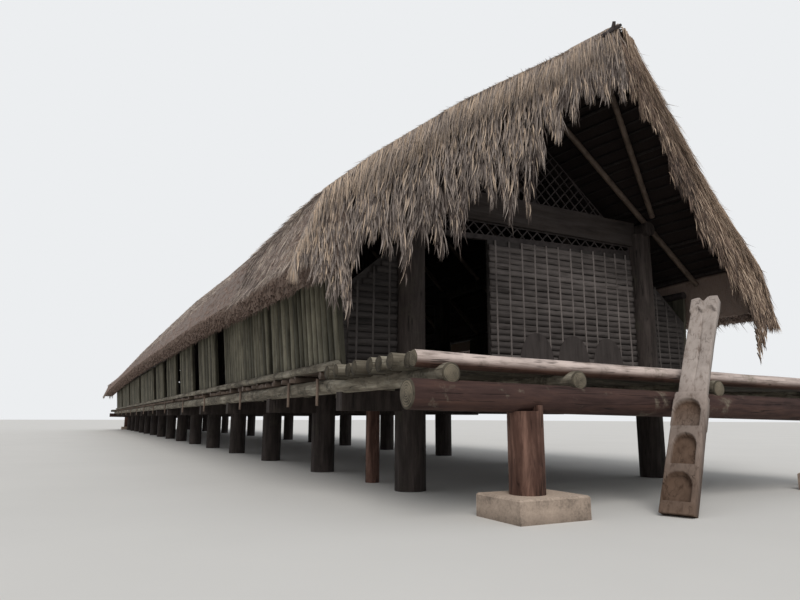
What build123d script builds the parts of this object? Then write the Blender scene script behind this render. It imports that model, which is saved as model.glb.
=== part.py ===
from build123d import *
import math
import os

# Half-scale stilt longhouse. Lengths are millimetres of the model, half of the real ones.
# X runs across the house, Y along it from front to rear, Z up from the ground.

# House grid
BAY = 1515.0
BAYS = 14
COLUMN_X = 1030.0
COLUMN_D = 190.0
COLUMN_TOP = 1860.0

# Floor levels
BEARER_Z = 614.5
BEARER_D = 92.0
JOIST_D = 48.0
FLOOR_T = 18.0
FLOOR_HALF = 1484.0
FLOOR_REACH = 100.0
MIDDLE_BEARERS_X = (-772.0, 215.0)
SIDE_BEARER_IN = 9.0
SPLICE_BAYS = (4, 7, 10)
SPLICE_GAP = 2.0
JOISTS_PER_BAY = 3
JOIST_PAST_RAIL = 13.0
FLOOR_BEAM_W = 90.0
FLOOR_BEAM_H = 120.0
FLOOR_BEAM_PAST = 16.0
FLOOR_BEAM_Z = 468.0

# Decks
DECK_LOG_D = 76.0
DECK_PITCH = 82.0
DECK_LOGS = 12
DECK_HALF = 1620.0
DECK_STAGGER = 28.0
DECK_EDGE_Y = -1130.0
DECK_SEAT = 25.0
DECK_FALL = 0.016
BEARER_END_Y = -1195.0
DECK_BEAM_D = 130.0
DECK_BEAM_Y = -1167.0
DECK_BEAM_PAST = 45.0
DECK_BEAM_LOW = 10.0
DECK_POST_XS = (-1073.0, 1345.0)
DECK_POST_D = 160.0
POST_HORN = 34.0
POST_STEP = 26.0
FOOTING_W = 378.0
FOOTING_D = 313.0
FOOTING_H = 101.0
FOOTING_OFF = 25.0
FOOTING_CHAMFER = 8.0

# Ladder, a thick plank cut with steps; lengths are along the plank from its foot
LADDER_FOOT = (-456.0, -1429.6)
LADDER_LEAN = (0.513, 0.197, 0.882)
LADDER_LENGTH = 1254.0
LADDER_W = 150.0
LADDER_T = 66.0
LADDER_STEPS = ((61.0, 205.0), (244.0, 407.0), (445.0, 599.0))
LADDER_SCOOP = 30.0
LADDER_TOP_STEP = 639.0
LADDER_THINNED = 18.0
LADDER_HEAD = 1188.0
LADDER_NOTCH_D = 56.0

# Side walls
RAIL_GAP = 3.0
RAIL_D = 60.0
WALL_FOOT_OUT = 1.0
WALL_T = 26.0
WALL_LEAN = 0.09
WALL_PLATE_D = 60.0
WINDOW_W = 500.0
WINDOW_OFFSET = 130.0
WINDOW_BAYS = (2, 3, 4, 5, 6, 8, 10, 12)
SLOT_YS = (1405.0, 1510.0)
PROP_AT = (-1030.0, 545.0)
PROP_D = 95.0

# Front wall
DOOR_RIGHT_X = -425.0
FRONT_WALL_T = 22.0
HEAD_LEFT_Z = 1622.0
HEAD_RIGHT_Z = 1692.0
HEAD_RAIL_H = 26.0
HEAD_RAIL_T = 30.0
TIE_BEAM_Z = 1765.0
TIE_BEAM_H = 190.0
TIE_BEAM_T = 60.0
TIE_BEAM_HALF = 1125.0
TIE_EVERY = 2
LATTICE_T = 6.0
LATTICE_BAR = 9.0
LATTICE_PITCH = 92.0
GABLE_LATTICE_HALF = 655.0
GABLE_LATTICE_H = 540.0
SIDE_PANEL_EDGE_Z = 1520.0
SIDE_PANEL_DROP = 0.98
BOARD_W = 300.0
BOARD_H = 285.0
BOARD_T = 18.0
BOARD_PITCH = 333.0
BOARD_FIRST_X = -38.0
BOARD_COUNT = 3

# Roof frame: Y, then the height under the rafters at the ridge and over the plates
FRAME = ((-950.0, 2696.0, 1933.0), (-120.0, 2796.0, 1970.0), (3030.0, 3000.0, 1970.0))
GABLE_RAFTER_Y = -75.0
PLATE_D = 110.0
PLATE_REACH = 135.0
RIDGE_D = 90.0
RIDGE_SPLICE_BAYS = (6, 8)
RAFTER_D = 44.0
RAFTER_END_X = 1630.0
RAFTER_CROSS = 22.0
PURLIN_D = 24.0
PURLIN_XS = (300.0, 650.0, 1000.0, 1330.0, 1600.0)
PROW_EDGE = ((0.0, -880.0), (600.0, -690.0), (1000.0, -560.0), (1500.0, -480.0), (1950.0, -445.0))
PROW_INSET = 40.0
KING_POST_D = 60.0
KING_POST_BACK = 12.0
FAN_TOP = (58.0, -680.0)
FAN_FOOT = (1030.0, -165.0)
FAN_D = 40.0
FAN_DROP = 14.0
FIT = 0.4

# Thatch: Y, then the heights of its outer face at each distance from the ridge
EAVE_X = 1950.0
EAVE_INNER_X = 1655.0
EAVE_CUT_RISE = 18.0
THATCH_XS = (0.0, 1000.0, 1500.0, 1800.0, 1950.0)
THATCH = ((-950.0, (2826.0, 2235.0, 1860.0, 1600.0, 1190.0)),
          (-120.0, (2966.0, 2262.0, 1872.0, 1604.0, 1208.0)),
          (1250.0, (3125.0, 2290.0, 1860.0, 1570.0, 1225.0)),
          (3030.0, (3255.0, 2370.0, 1880.0, 1560.0, 1275.0)),
          (8500.0, (3515.0, 2560.0, 1990.0, 1600.0, 1335.0)))
CAP_HALF = 330.0
CAP_T = 46.0
CAP_EDGE_T = 14.0

LENGTH = BAY * BAYS
BEARER_TOP = BEARER_Z + BEARER_D / 2
JOIST_TOP = BEARER_TOP + JOIST_D
FLOOR_Z = JOIST_TOP + FLOOR_T
DECK_LOG_Z = BEARER_TOP + DECK_LOG_D / 2 - DECK_SEAT
DECK_BEAM_Z = FLOOR_BEAM_Z + DECK_BEAM_D / 2 - DECK_BEAM_LOW
DECK_BEAM_HALF = DECK_HALF + DECK_BEAM_PAST
FLOOR_BEAM_HALF = FLOOR_HALF + FLOOR_BEAM_PAST
SIDE_BEARER_X = FLOOR_HALF - SIDE_BEARER_IN
WALL_FOOT_X = FLOOR_HALF + WALL_FOOT_OUT
RAIL_X = FLOOR_HALF + RAIL_GAP + RAIL_D / 2
JOIST_HALF = RAIL_X + JOIST_PAST_RAIL
BREAK_Y = FRAME[-1][0]
BEARERS_X = (-SIDE_BEARER_X,) + MIDDLE_BEARERS_X + (SIDE_BEARER_X,)
COLUMN_YS = [BAY * i for i in range(BAYS + 1)]
TIE_YS = [BAY * i for i in range(0, BAYS + 1, TIE_EVERY)]


def block(x0, x1, y0, y1, z0, z1):
    """A box between two corners."""
    size = Box(x1 - x0, y1 - y0, z1 - z0)
    return Pos((x0 + x1) / 2, (y0 + y1) / 2, (z0 + z1) / 2) * size


def log(start, end, diameter):
    """A round log between two points."""
    axis = Vector(*end) - Vector(*start)
    bottom = (Align.CENTER, Align.CENTER, Align.MIN)
    return Plane(origin=start, z_dir=axis) * Cylinder(diameter / 2, axis.length, align=bottom)


def prism_y(points, y0, y1):
    """A polygon drawn in X and Z, carried from y0 to y1."""
    plane = Plane(origin=(0, y1, 0), x_dir=(1, 0, 0), z_dir=(0, -1, 0))
    return extrude(plane * make_face(Polyline(*points, close=True)), amount=y1 - y0)


def to_rear(shape):
    """The same shape at the other end of the house."""
    return mirror(shape, Plane.XZ.offset(-LENGTH / 2))


def to_right(shape):
    """A left-hand shape on the right-hand side."""
    return mirror(shape, Plane.YZ)


def write(name, shapes, middle_y):
    """Write one node, placed so that the origin is on the ground under the middle."""
    moved = [Pos(0, -middle_y, 0) * s for shape in shapes for s in shape.solids()]
    export_step(Compound(children=moved) if len(moved) > 1 else moved[0], f"parts/{name}.step")


def spliced_log(x, z, y0, y1, diameter, bays=SPLICE_BAYS):
    """A long round timber made of logs that meet end to end over the columns."""
    joints = [y0] + [BAY * i for i in bays] + [y1]
    spans = zip(joints[:-1], joints[1:])
    return [log((x, a + SPLICE_GAP / 2, z), (x, b - SPLICE_GAP / 2, z), diameter) for a, b in spans]


def deck_drop(x, y):
    """How far the worn front deck has sunk: more to the right, and more towards its edge."""
    return DECK_FALL * (x + DECK_HALF) * (y + FLOOR_REACH) / (DECK_BEAM_Y + FLOOR_REACH)


def bent_log(points, diameter):
    """A round timber bent at its points, with its sections square to the length of the house."""
    rings = [(Plane(origin=point, z_dir=(0, 1, 0)) * Circle(diameter / 2)).face().outer_wire() for point in points]
    return Solid.make_loft(rings, ruled=True)


def bearer_line(x):
    """Two points on a bearer: its sunken end over the deck beam, and its bend at the floor's edge."""
    return [(x, BEARER_END_Y, BEARER_Z - deck_drop(x, BEARER_END_Y)), (x, -FLOOR_REACH, BEARER_Z)]


def bearer_tip(x):
    """The part of a bearer under the front deck."""
    return bent_log(bearer_line(x), BEARER_D)


def bearers(x):
    """One of the long bearers that carry the floor and both decks."""
    first, middle, last = SPLICE_BAYS
    front = bent_log(bearer_line(x) + [(x, first * BAY - SPLICE_GAP / 2, BEARER_Z)], BEARER_D)
    return [front] + spliced_log(x, BEARER_Z, first * BAY, last * BAY, BEARER_D, (middle,)) + [to_rear(front)]


def bearer_saddles(y0, y1):
    """The round seats that the bearers need in whatever lies under them."""
    return [log((x, y0, BEARER_Z), (x, y1, BEARER_Z), BEARER_D) for x in BEARERS_X]


def deck_beam_blank(x0, x1):
    """A length of the round deck beam, which falls to the right."""
    ends = [(x, DECK_BEAM_Y, DECK_BEAM_Z - deck_drop(x, DECK_BEAM_Y)) for x in (x0, x1)]
    return log(*ends, DECK_BEAM_D)


def deck_beam():
    """The round beam across the front of a deck, with a saddle for each bearer."""
    return deck_beam_blank(-DECK_BEAM_HALF, DECK_BEAM_HALF) - [bearer_tip(x) for x in BEARERS_X]


def deck_post(x):
    """A post under the deck beam: a saddle for the beam and a stepped head."""
    top = DECK_BEAM_Z - deck_drop(x, DECK_BEAM_Y) - DECK_BEAM_D / 2 + POST_HORN
    post = log((x, DECK_BEAM_Y, FOOTING_H), (x, DECK_BEAM_Y, top), DECK_POST_D)
    post -= deck_beam_blank(x - DECK_POST_D, x + DECK_POST_D)
    step = block(x - DECK_POST_D, x + POST_STEP / 2, DECK_BEAM_Y - DECK_POST_D, DECK_BEAM_Y + DECK_POST_D,
                 top - POST_STEP, top + POST_STEP)
    return post - step


def footing(x):
    """The concrete block under a deck post."""
    solid = block(x - FOOTING_W / 2, x + FOOTING_W / 2, DECK_BEAM_Y - FOOTING_D / 2,
                  DECK_BEAM_Y + FOOTING_D / 2, 0, FOOTING_H)
    return chamfer(solid.faces().sort_by(Axis.Z)[-1].edges(), FOOTING_CHAMFER)


def deck_log(index):
    """One log of the deck floor, seated on the bearers; the ends are staggered as cut by hand."""
    y = DECK_EDGE_Y + DECK_PITCH * index
    left = -DECK_HALF + DECK_STAGGER * math.sin(2.4 * index)
    right = DECK_HALF + DECK_STAGGER * math.cos(1.7 * index)
    ends = [(x, y, DECK_LOG_Z - deck_drop(x, y)) for x in (left, right)]
    return log(*ends, DECK_LOG_D) - [bearer_tip(x) for x in BEARERS_X]


def prop_post():
    """The stout prop between the ground and the floor behind the left front column."""
    return log((*PROP_AT, 0), (*PROP_AT, JOIST_TOP), PROP_D)


def ladder():
    """A thick plank cut with arched scoops for steps, leaning on the deck beam."""
    lean = Vector(*LADDER_LEAN).normalized()
    across = Vector(lean.Y, -lean.X, 0).normalized()
    frame = Plane(origin=(LADDER_FOOT[0], LADDER_FOOT[1], 0), x_dir=across, z_dir=lean)
    half = LADDER_W / 2
    face = -LADDER_T / 2
    plank = block(-half, half, face, -face, -LADDER_T, LADDER_LENGTH)
    for low, high in LADDER_STEPS:
        plank -= block(-half, half, face, face + LADDER_SCOOP, low, high - half)
        plank -= log((0, face, high - half), (0, face + LADDER_SCOOP, high - half), LADDER_W)
    plank -= block(-half, half, face, face + LADDER_THINNED, LADDER_TOP_STEP, LADDER_HEAD)
    plank -= log((half, face, LADDER_HEAD), (half, -face, LADDER_HEAD), LADDER_NOTCH_D)
    ground = block(-DECK_HALF, DECK_HALF, -LENGTH, LENGTH, -LADDER_LENGTH, 0)
    return frame * plank - ground


def columns(side):
    """One row of main columns, with mortises for the floor beams and seats for the roof frame."""
    row = []
    for y in COLUMN_YS:
        column = log((side * COLUMN_X, y, 0), (side * COLUMN_X, y, COLUMN_TOP), COLUMN_D)
        column -= floor_beam_blank(y)
        column -= roof_plate_blank(side)
        if y in TIE_YS:
            column -= tie_beam_blank(y)
        row.append(column)
    return row


def floor_beam_blank(y):
    """The squared floor beam that runs through a pair of columns."""
    return block(-FLOOR_BEAM_HALF, FLOOR_BEAM_HALF, y - FLOOR_BEAM_W / 2, y + FLOOR_BEAM_W / 2,
                 FLOOR_BEAM_Z, FLOOR_BEAM_Z + FLOOR_BEAM_H)


def floor_beam(y):
    """A floor beam with saddles for the bearers."""
    return floor_beam_blank(y) - bearer_saddles(y - FLOOR_BEAM_W, y + FLOOR_BEAM_W)


def floor_joists():
    """Thin poles across the bearers, clear of the columns."""
    step = BAY / JOISTS_PER_BAY
    z = BEARER_TOP + JOIST_D / 2
    ys = [step * (i + 0.5) for i in range(BAYS * JOISTS_PER_BAY)]
    return [log((-JOIST_HALF, y, z), (JOIST_HALF, y, z), JOIST_D) for y in ys]


def floor():
    """The split-bamboo floor, cut out round the columns."""
    slab = block(-FLOOR_HALF, FLOOR_HALF, -FLOOR_REACH, LENGTH + FLOOR_REACH, JOIST_TOP, FLOOR_Z)
    holes = [log((s * COLUMN_X, y, 0), (s * COLUMN_X, y, COLUMN_TOP), COLUMN_D)
             for s in (-1, 1) for y in COLUMN_YS]
    return slab - holes


def side_rail():
    """The split rail along the foot of the left wall, flat side down on the joists."""
    z = JOIST_TOP + RAIL_D / 2 - RAIL_D / 8
    under = block(-RAIL_X - RAIL_D, -RAIL_X + RAIL_D, -RAIL_D, LENGTH + RAIL_D, 0, JOIST_TOP)
    return [piece - under for piece in spliced_log(-RAIL_X, z, 0, LENGTH, RAIL_D)]


def between(points, at):
    """The value at one place on a line through points."""
    for (x0, y0), (x1, y1) in zip(points[:-1], points[1:]):
        if at <= x1:
            break
    return y0 + (at - x0) / (x1 - x0) * (y1 - y0)


def prow_y(x):
    """The roof's front edge in plan, furthest forward at the ridge."""
    return between(PROW_EDGE, abs(x))


def roof_z(x, y, offset=0):
    """Height of a point in the roof, offset square above the underside of the rafters."""
    heights = []
    for place, ridge, plate in FRAME:
        slope = (ridge - plate) / COLUMN_X
        heights.append((place, ridge - slope * abs(x) + offset * math.hypot(1, slope)))
    return between(heights, min(y, LENGTH - y, BREAK_Y))


def wall_plate_x():
    """Middle of the wall plate, over the middle of the leaning wall."""
    rise = FRAME[-1][2] - FLOOR_Z - WALL_PLATE_D
    return WALL_FOOT_X - WALL_T / 2 + WALL_LEAN * rise * 0.55


def wall_plate_z():
    """Height of the wall plate, just under the rafters of the long roof."""
    return roof_z(wall_plate_x(), LENGTH / 2, -WALL_PLATE_D / 2 - FIT)


def wall_spans():
    """The stretches of side wall between the narrow slot and the window openings."""
    edges = [0.0, *SLOT_YS]
    for bay in WINDOW_BAYS:
        edges += [bay * BAY + WINDOW_OFFSET, bay * BAY + WINDOW_OFFSET + WINDOW_W]
    edges.append(LENGTH)
    return list(zip(edges[0::2], edges[1::2]))


def side_wall():
    """The left wall: leaning panels between full-height window openings."""
    top = wall_plate_z() - WALL_PLATE_D / 2
    lean = WALL_LEAN * (top - FLOOR_Z)
    outline = [(-WALL_FOOT_X, FLOOR_Z), (-WALL_FOOT_X - lean, top),
               (-WALL_FOOT_X - lean + WALL_T, top), (-WALL_FOOT_X + WALL_T, FLOOR_Z)]
    return [prism_y(outline, y0, y1) for y0, y1 in wall_spans()]


def wall_plate():
    """The long pole on top of the left wall, under the rafters."""
    return spliced_log(-wall_plate_x(), wall_plate_z(), 0, LENGTH, WALL_PLATE_D)


def head_z(x):
    """Height of the underside of the head rail, which slopes up to the right."""
    half = COLUMN_X - COLUMN_D / 2
    return HEAD_LEFT_Z + (x + half) / (2 * half) * (HEAD_RIGHT_Z - HEAD_LEFT_Z)


def woven_wall():
    """The woven panel between the door and the right-hand column."""
    x0 = DOOR_RIGHT_X
    x1 = COLUMN_X - COLUMN_D / 2
    return prism_y([(x0, FLOOR_Z), (x1, FLOOR_Z), (x1, head_z(x1)), (x0, head_z(x0))], 0, FRONT_WALL_T)


def head_rail():
    """The rail over the door and the woven wall."""
    x1 = COLUMN_X - COLUMN_D / 2
    low = [(-x1, head_z(-x1)), (x1, head_z(x1))]
    high = [(x1, head_z(x1) + HEAD_RAIL_H), (-x1, head_z(-x1) + HEAD_RAIL_H)]
    return prism_y(low + high, 0, HEAD_RAIL_T)


def end_side_panels():
    """The two panels outside the columns, with their tops cut to the roof slope."""
    x0 = COLUMN_X + COLUMN_D / 2
    x1 = WALL_FOOT_X - WALL_T
    z1 = SIDE_PANEL_EDGE_Z - SIDE_PANEL_DROP * (x1 - x0)
    outline = [(x0, FLOOR_Z), (x1, FLOOR_Z), (x1 + WALL_LEAN * (z1 - FLOOR_Z), z1), (x0, SIDE_PANEL_EDGE_Z)]
    right = prism_y(outline, 0, FRONT_WALL_T)
    return [right, to_right(right)]


def bar_outline(x0, z0, x1, z1):
    """The outline of one slanting bar."""
    half = LATTICE_BAR / math.sqrt(2)
    return [(x0 - half, z0), (x0 + half, z0), (x1 + half, z1), (x1 - half, z1)]


def gable_lattice():
    """The lattice triangle that stands on the tie beam."""
    z0 = TIE_BEAM_Z + TIE_BEAM_H
    outline = [(-GABLE_LATTICE_HALF, z0), (GABLE_LATTICE_HALF, z0), (0, z0 + GABLE_LATTICE_H)]
    return framed_lattice(outline)


def lattice_band():
    """The lattice band between the head rail and the tie beam."""
    x1 = COLUMN_X - COLUMN_D / 2
    outline = [(-x1, head_z(-x1) + HEAD_RAIL_H), (x1, head_z(x1) + HEAD_RAIL_H),
               (x1, TIE_BEAM_Z), (-x1, TIE_BEAM_Z)]
    return framed_lattice(outline)


def framed_lattice(outline):
    """A lattice inside a thin frame, both cut from the same outline."""
    xs = [p[0] for p in outline]
    zs = [p[1] for p in outline]
    x0, x1, z0, z1 = min(xs), max(xs), min(zs), max(zs)
    height = z1 - z0
    bars = []
    for i in range(int((x1 - x0 + height) / LATTICE_PITCH) + 1):
        a = x0 - height + (i + 0.5) * LATTICE_PITCH
        bars.append(prism_y(bar_outline(a, z0, a + height, z1), 0, LATTICE_T))
        bars.append(prism_y(bar_outline(a + height, z0, a, z1), 0, LATTICE_T))
    field = prism_y(outline, 0, LATTICE_T)
    net = bars[0].fuse(*bars[1:]) & field
    frame = []
    for p, q in zip(outline, outline[1:] + outline[:1]):
        frame.append(edge_bar(p, q))
    return Part() + ([net.fuse(*frame) & field])


def edge_bar(p, q):
    """A bar of the frame, centred on one edge of the outline."""
    length = math.dist(p, q)
    nx = (q[1] - p[1]) / length * LATTICE_BAR
    nz = -(q[0] - p[0]) / length * LATTICE_BAR
    return prism_y([(p[0] - nx, p[1] - nz), (q[0] - nx, q[1] - nz), (q[0] + nx, q[1] + nz),
                    (p[0] + nx, p[1] + nz)], 0, LATTICE_T)


def arched_board(index):
    """A round-topped board standing on the floor's edge against the woven wall."""
    x = BOARD_FIRST_X + BOARD_PITCH * index
    half = BOARD_W / 2
    plane = Plane(origin=(x, 0, FLOOR_Z), x_dir=(1, 0, 0), z_dir=(0, -1, 0))
    side = Line((-half, 0), (-half, BOARD_H * 0.3))
    arch = Spline((-half, BOARD_H * 0.3), (0, BOARD_H), (half, BOARD_H * 0.3),
                  tangents=((0.15, 1), (0.15, -1)))
    outline = make_face([side, arch, Line((half, BOARD_H * 0.3), (half, 0)), Line((half, 0), (-half, 0))])
    return extrude(plane * outline, amount=BOARD_T)


def tie_beam_blank(y):
    """The deep board across a pair of column heads."""
    return block(-TIE_BEAM_HALF, TIE_BEAM_HALF, y - TIE_BEAM_T / 2, y + TIE_BEAM_T / 2,
                 TIE_BEAM_Z, TIE_BEAM_Z + TIE_BEAM_H)


def roof_plate_blank(side):
    """The straight axis volume of a roof plate, used for its seats."""
    return log((side * COLUMN_X, -PLATE_REACH, roof_plate_z()),
               (side * COLUMN_X, LENGTH + PLATE_REACH, roof_plate_z()), PLATE_D)


def roof_plate_z():
    """Height of the roof plates, just under the rafters."""
    return roof_z(COLUMN_X, LENGTH / 2, -PLATE_D / 2 - FIT)


def roof_plate(side):
    """The long plate on one row of columns, made of logs end to end."""
    return spliced_log(side * COLUMN_X, roof_plate_z(), -PLATE_REACH, LENGTH + PLATE_REACH, PLATE_D)


def tie_beam(y):
    """A tie beam, halved for the roof plates and cut to the roof slope."""
    inner = COLUMN_X - PLATE_D / 2
    y0, y1 = y - TIE_BEAM_T, y + TIE_BEAM_T
    z0, z1 = roof_plate_z(), TIE_BEAM_Z + TIE_BEAM_H + PLATE_D
    beam = tie_beam_blank(y) - [roof_plate_blank(-1), roof_plate_blank(1)]
    beam -= [block(inner, EAVE_X, y0, y1, z0, z1), block(-EAVE_X, -inner, y0, y1, z0, z1)]
    edge = roof_z(EAVE_X, y, -FIT)
    top = roof_z(0, y, -FIT)
    return beam & prism_y([(-EAVE_X, edge), (0, top), (EAVE_X, edge), (EAVE_X, 0), (-EAVE_X, 0)], y0, y1)


def roof_pole(x, offset, diameter):
    """Logs end to end along the roof: level in the middle, drooping and bent at both ends."""
    ys = (prow_y(x) + PROW_INSET, FRAME[1][0], BREAK_Y - SPLICE_GAP)
    tip, bend, end = [(x, y, roof_z(x, y, offset)) for y in ys]
    front = log(tip, bend, diameter).fuse(log(bend, end, diameter))
    z = roof_z(x, BREAK_Y, offset)
    middle = spliced_log(x, z, BREAK_Y, LENGTH - BREAK_Y, diameter, RIDGE_SPLICE_BAYS)
    return [front] + middle + [to_rear(front)]


def ridge_pole():
    """The ridge pole, which the rafters lie on."""
    return roof_pole(0, -RIDGE_D / 2 - FIT, RIDGE_D)


def king_post(y):
    """A post from the tie beam up to the ridge pole, seated round its underside."""
    at = min(max(y, KING_POST_BACK), LENGTH - KING_POST_BACK)
    top = roof_z(0, at, -RIDGE_D / 2)
    return log((0, at, TIE_BEAM_Z + TIE_BEAM_H), (0, at, top), KING_POST_D) - ridge_pole()


def rafter_ys():
    """Places of the rafter pairs: at both gables and twice in each bay between."""
    inner = [BAY / 2 * i for i in range(1, 2 * BAYS)]
    return [GABLE_RAFTER_Y] + inner + [LENGTH - GABLE_RAFTER_Y]


def rafter(side, y):
    """One round rafter, from just past the ridge down to the eave."""
    place = y + side * RAFTER_D * 0.52
    lift = RAFTER_D / 2 + FIT
    rise = (roof_z(0, place) - roof_z(COLUMN_X, place)) / COLUMN_X
    start = (-side * RAFTER_CROSS, place, roof_z(0, place, lift) + RAFTER_CROSS * rise)
    return log(start, (side * RAFTER_END_X, place, roof_z(RAFTER_END_X, place, lift)), RAFTER_D)


def fan_rafter(side):
    """The pole that runs from the ridge's tip back to the end of the roof plate."""
    ends = [(side * x, y, roof_z(x, y, FAN_D / 2) - FAN_DROP) for x, y in (FAN_TOP, FAN_FOOT)]
    return log(*ends, FAN_D)


def purlin(side, x):
    """A pole along the roof, on the rafters."""
    return roof_pole(side * x, RAFTER_D + PURLIN_D / 2 + 2 * FIT, PURLIN_D)


def prow_cut():
    """Everything in front of the roof's edge, which comes to a point in plan."""
    right = [(x, y) for x, y in PROW_EDGE] + [(2 * EAVE_X, PROW_EDGE[-1][1]), (2 * EAVE_X, -EAVE_X)]
    left = [(-x, y) for x, y in reversed(right)]
    return extrude(make_face(Polyline(*left, *right[1:], close=True)), amount=2 * FRAME[-1][1])


def along_roof(section):
    """A solid lofted through one section at each station, with both ends cut to the prow."""
    cuts = [section(y, heights) for y, heights in THATCH]
    cuts += [section(LENGTH - y, heights) for y, heights in reversed(THATCH)]
    outlines = [make_face(Polyline(*cut, close=True)).face().outer_wire() for cut in cuts]
    return Solid.make_loft(outlines, ruled=True) - prow_cut() - to_rear(prow_cut())


def thatch_section(y, heights):
    """Corners of the right slope of thatch at one place."""
    lift = RAFTER_D + PURLIN_D + 3 * FIT
    outer = list(zip(THATCH_XS, heights))
    eave = [(EAVE_INNER_X, heights[-1] + EAVE_CUT_RISE), (EAVE_INNER_X, roof_z(EAVE_INNER_X, y, lift))]
    return [(x, y, z) for x, z in outer + eave + [(0, roof_z(0, y, lift))]]


def cap_section(y, heights):
    """Corners of the thatch ridge cap, which lies on both slopes."""
    foot = heights[0] - (heights[0] - heights[1]) / THATCH_XS[1] * CAP_HALF
    corners = [(-CAP_HALF, foot), (0, heights[0]), (CAP_HALF, foot), (CAP_HALF, foot + CAP_EDGE_T),
               (0, heights[0] + CAP_T), (-CAP_HALF, foot + CAP_EDGE_T)]
    return [(x, y, z) for x, z in corners]


def front_end():
    """The pieces that stand at one gable, by name."""
    return {"deck_beam": [deck_beam()],
            "woven_wall": [woven_wall()],
            "head_rail": [head_rail()],
            "side_panels": end_side_panels(),
            "lattice_band": [lattice_band()],
            "gable_lattice": [Pos(0, -TIE_BEAM_T / 2, 0) * gable_lattice()]}


def house():
    """All the pieces, by node name."""
    blocks = [footing(x + math.copysign(FOOTING_OFF, -x)) for x in DECK_POST_XS]
    posts = [deck_post(x) for x in DECK_POST_XS]
    rail = side_rail()
    plate = wall_plate()
    wall = side_wall()
    fans = [fan_rafter(s) for s in (-1, 1)]
    thatch = along_roof(thatch_section)
    nodes = {}
    nodes["footings"] = blocks + [to_rear(piece) for piece in blocks]
    nodes["deck_posts"] = posts + [Pos(0, LENGTH - 2 * DECK_BEAM_Y, 0) * piece for piece in posts]
    nodes["left_side_bearer"] = bearers(-SIDE_BEARER_X)
    nodes["right_side_bearer"] = bearers(SIDE_BEARER_X)
    nodes["middle_bearers"] = [piece for x in MIDDLE_BEARERS_X for piece in bearers(x)]
    nodes["front_edge_log"] = [deck_log(0)]
    nodes["front_deck_logs"] = [deck_log(i) for i in range(1, DECK_LOGS + 1)]
    nodes["rear_deck_logs"] = [to_rear(deck_log(i)) for i in range(DECK_LOGS + 1)]
    nodes["log_ladder"] = [ladder()]
    nodes["left_columns"] = columns(-1)
    nodes["right_columns"] = columns(1)
    nodes["prop_post"] = [prop_post()]
    nodes["floor_beams"] = [floor_beam(y) for y in COLUMN_YS]
    nodes["floor_joists"] = floor_joists()
    nodes["floor"] = [floor()]
    nodes["side_rails"] = rail + [to_right(piece) for piece in rail]
    nodes["left_wall"] = wall
    nodes["right_wall"] = [to_right(piece) for piece in wall]
    nodes["wall_plates"] = plate + [to_right(piece) for piece in plate]
    for name, shapes in front_end().items():
        nodes["front_" + name] = shapes
        nodes["rear_" + name] = [to_rear(shape) for shape in shapes]
    nodes["arched_boards"] = [arched_board(i) for i in range(BOARD_COUNT)]
    nodes["tie_beams"] = [tie_beam(y) for y in TIE_YS]
    nodes["roof_plates"] = roof_plate(-1) + roof_plate(1)
    nodes["king_posts"] = [king_post(y) for y in TIE_YS]
    nodes["ridge_pole"] = ridge_pole()
    for name, side in (("left", -1), ("right", 1)):
        nodes[name + "_rafters"] = [rafter(side, y) for y in rafter_ys()]
        nodes[name + "_purlins"] = [piece for x in PURLIN_XS for piece in purlin(side, x)]
    nodes["prow_rafters"] = fans + [to_rear(fan) for fan in fans]
    nodes["left_thatch"] = [to_right(thatch)]
    nodes["right_thatch"] = [thatch]
    nodes["ridge_cap"] = [along_roof(cap_section)]
    return nodes


def main():
    os.makedirs("parts", exist_ok=True)
    nodes = house()
    front = nodes["log_ladder"][0].bounding_box().min.Y
    rear = max(block.bounding_box().max.Y for block in nodes["footings"])
    for name, shapes in nodes.items():
        write(name, shapes, (front + rear) / 2)
    print("middle of the house lies at Y", (front + rear) / 2)


main()
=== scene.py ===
"""Looks of the half-scale stilt longhouse: thatch, split bamboo, logs, ladder and finishes."""

import math

import bpy
import numpy as np
from mathutils import Matrix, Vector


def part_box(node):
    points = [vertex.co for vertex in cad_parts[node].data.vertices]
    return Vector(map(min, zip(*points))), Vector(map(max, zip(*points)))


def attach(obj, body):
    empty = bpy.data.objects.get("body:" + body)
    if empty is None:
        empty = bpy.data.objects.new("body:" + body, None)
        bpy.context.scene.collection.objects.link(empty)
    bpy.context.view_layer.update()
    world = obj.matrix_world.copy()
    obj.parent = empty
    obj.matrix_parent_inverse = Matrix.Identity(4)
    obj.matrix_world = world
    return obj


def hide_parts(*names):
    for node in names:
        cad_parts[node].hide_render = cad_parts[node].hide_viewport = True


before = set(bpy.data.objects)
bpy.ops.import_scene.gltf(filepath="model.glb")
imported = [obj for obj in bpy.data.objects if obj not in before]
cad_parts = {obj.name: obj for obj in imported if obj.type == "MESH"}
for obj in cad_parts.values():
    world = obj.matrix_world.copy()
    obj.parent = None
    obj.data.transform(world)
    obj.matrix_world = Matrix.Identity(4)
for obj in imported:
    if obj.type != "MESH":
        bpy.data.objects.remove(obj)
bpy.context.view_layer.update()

bl_info = {
    "name": "Stilt longhouse looks",
    "version": (1, 0, 0),
    "blender": (4, 5, 0),
    "location": "3D View > Sidebar > Longhouse",
    "description": "Dresses a packed stilt longhouse with thatch, bamboo, logs and finishes",
    "category": "Add Mesh",
}

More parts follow.
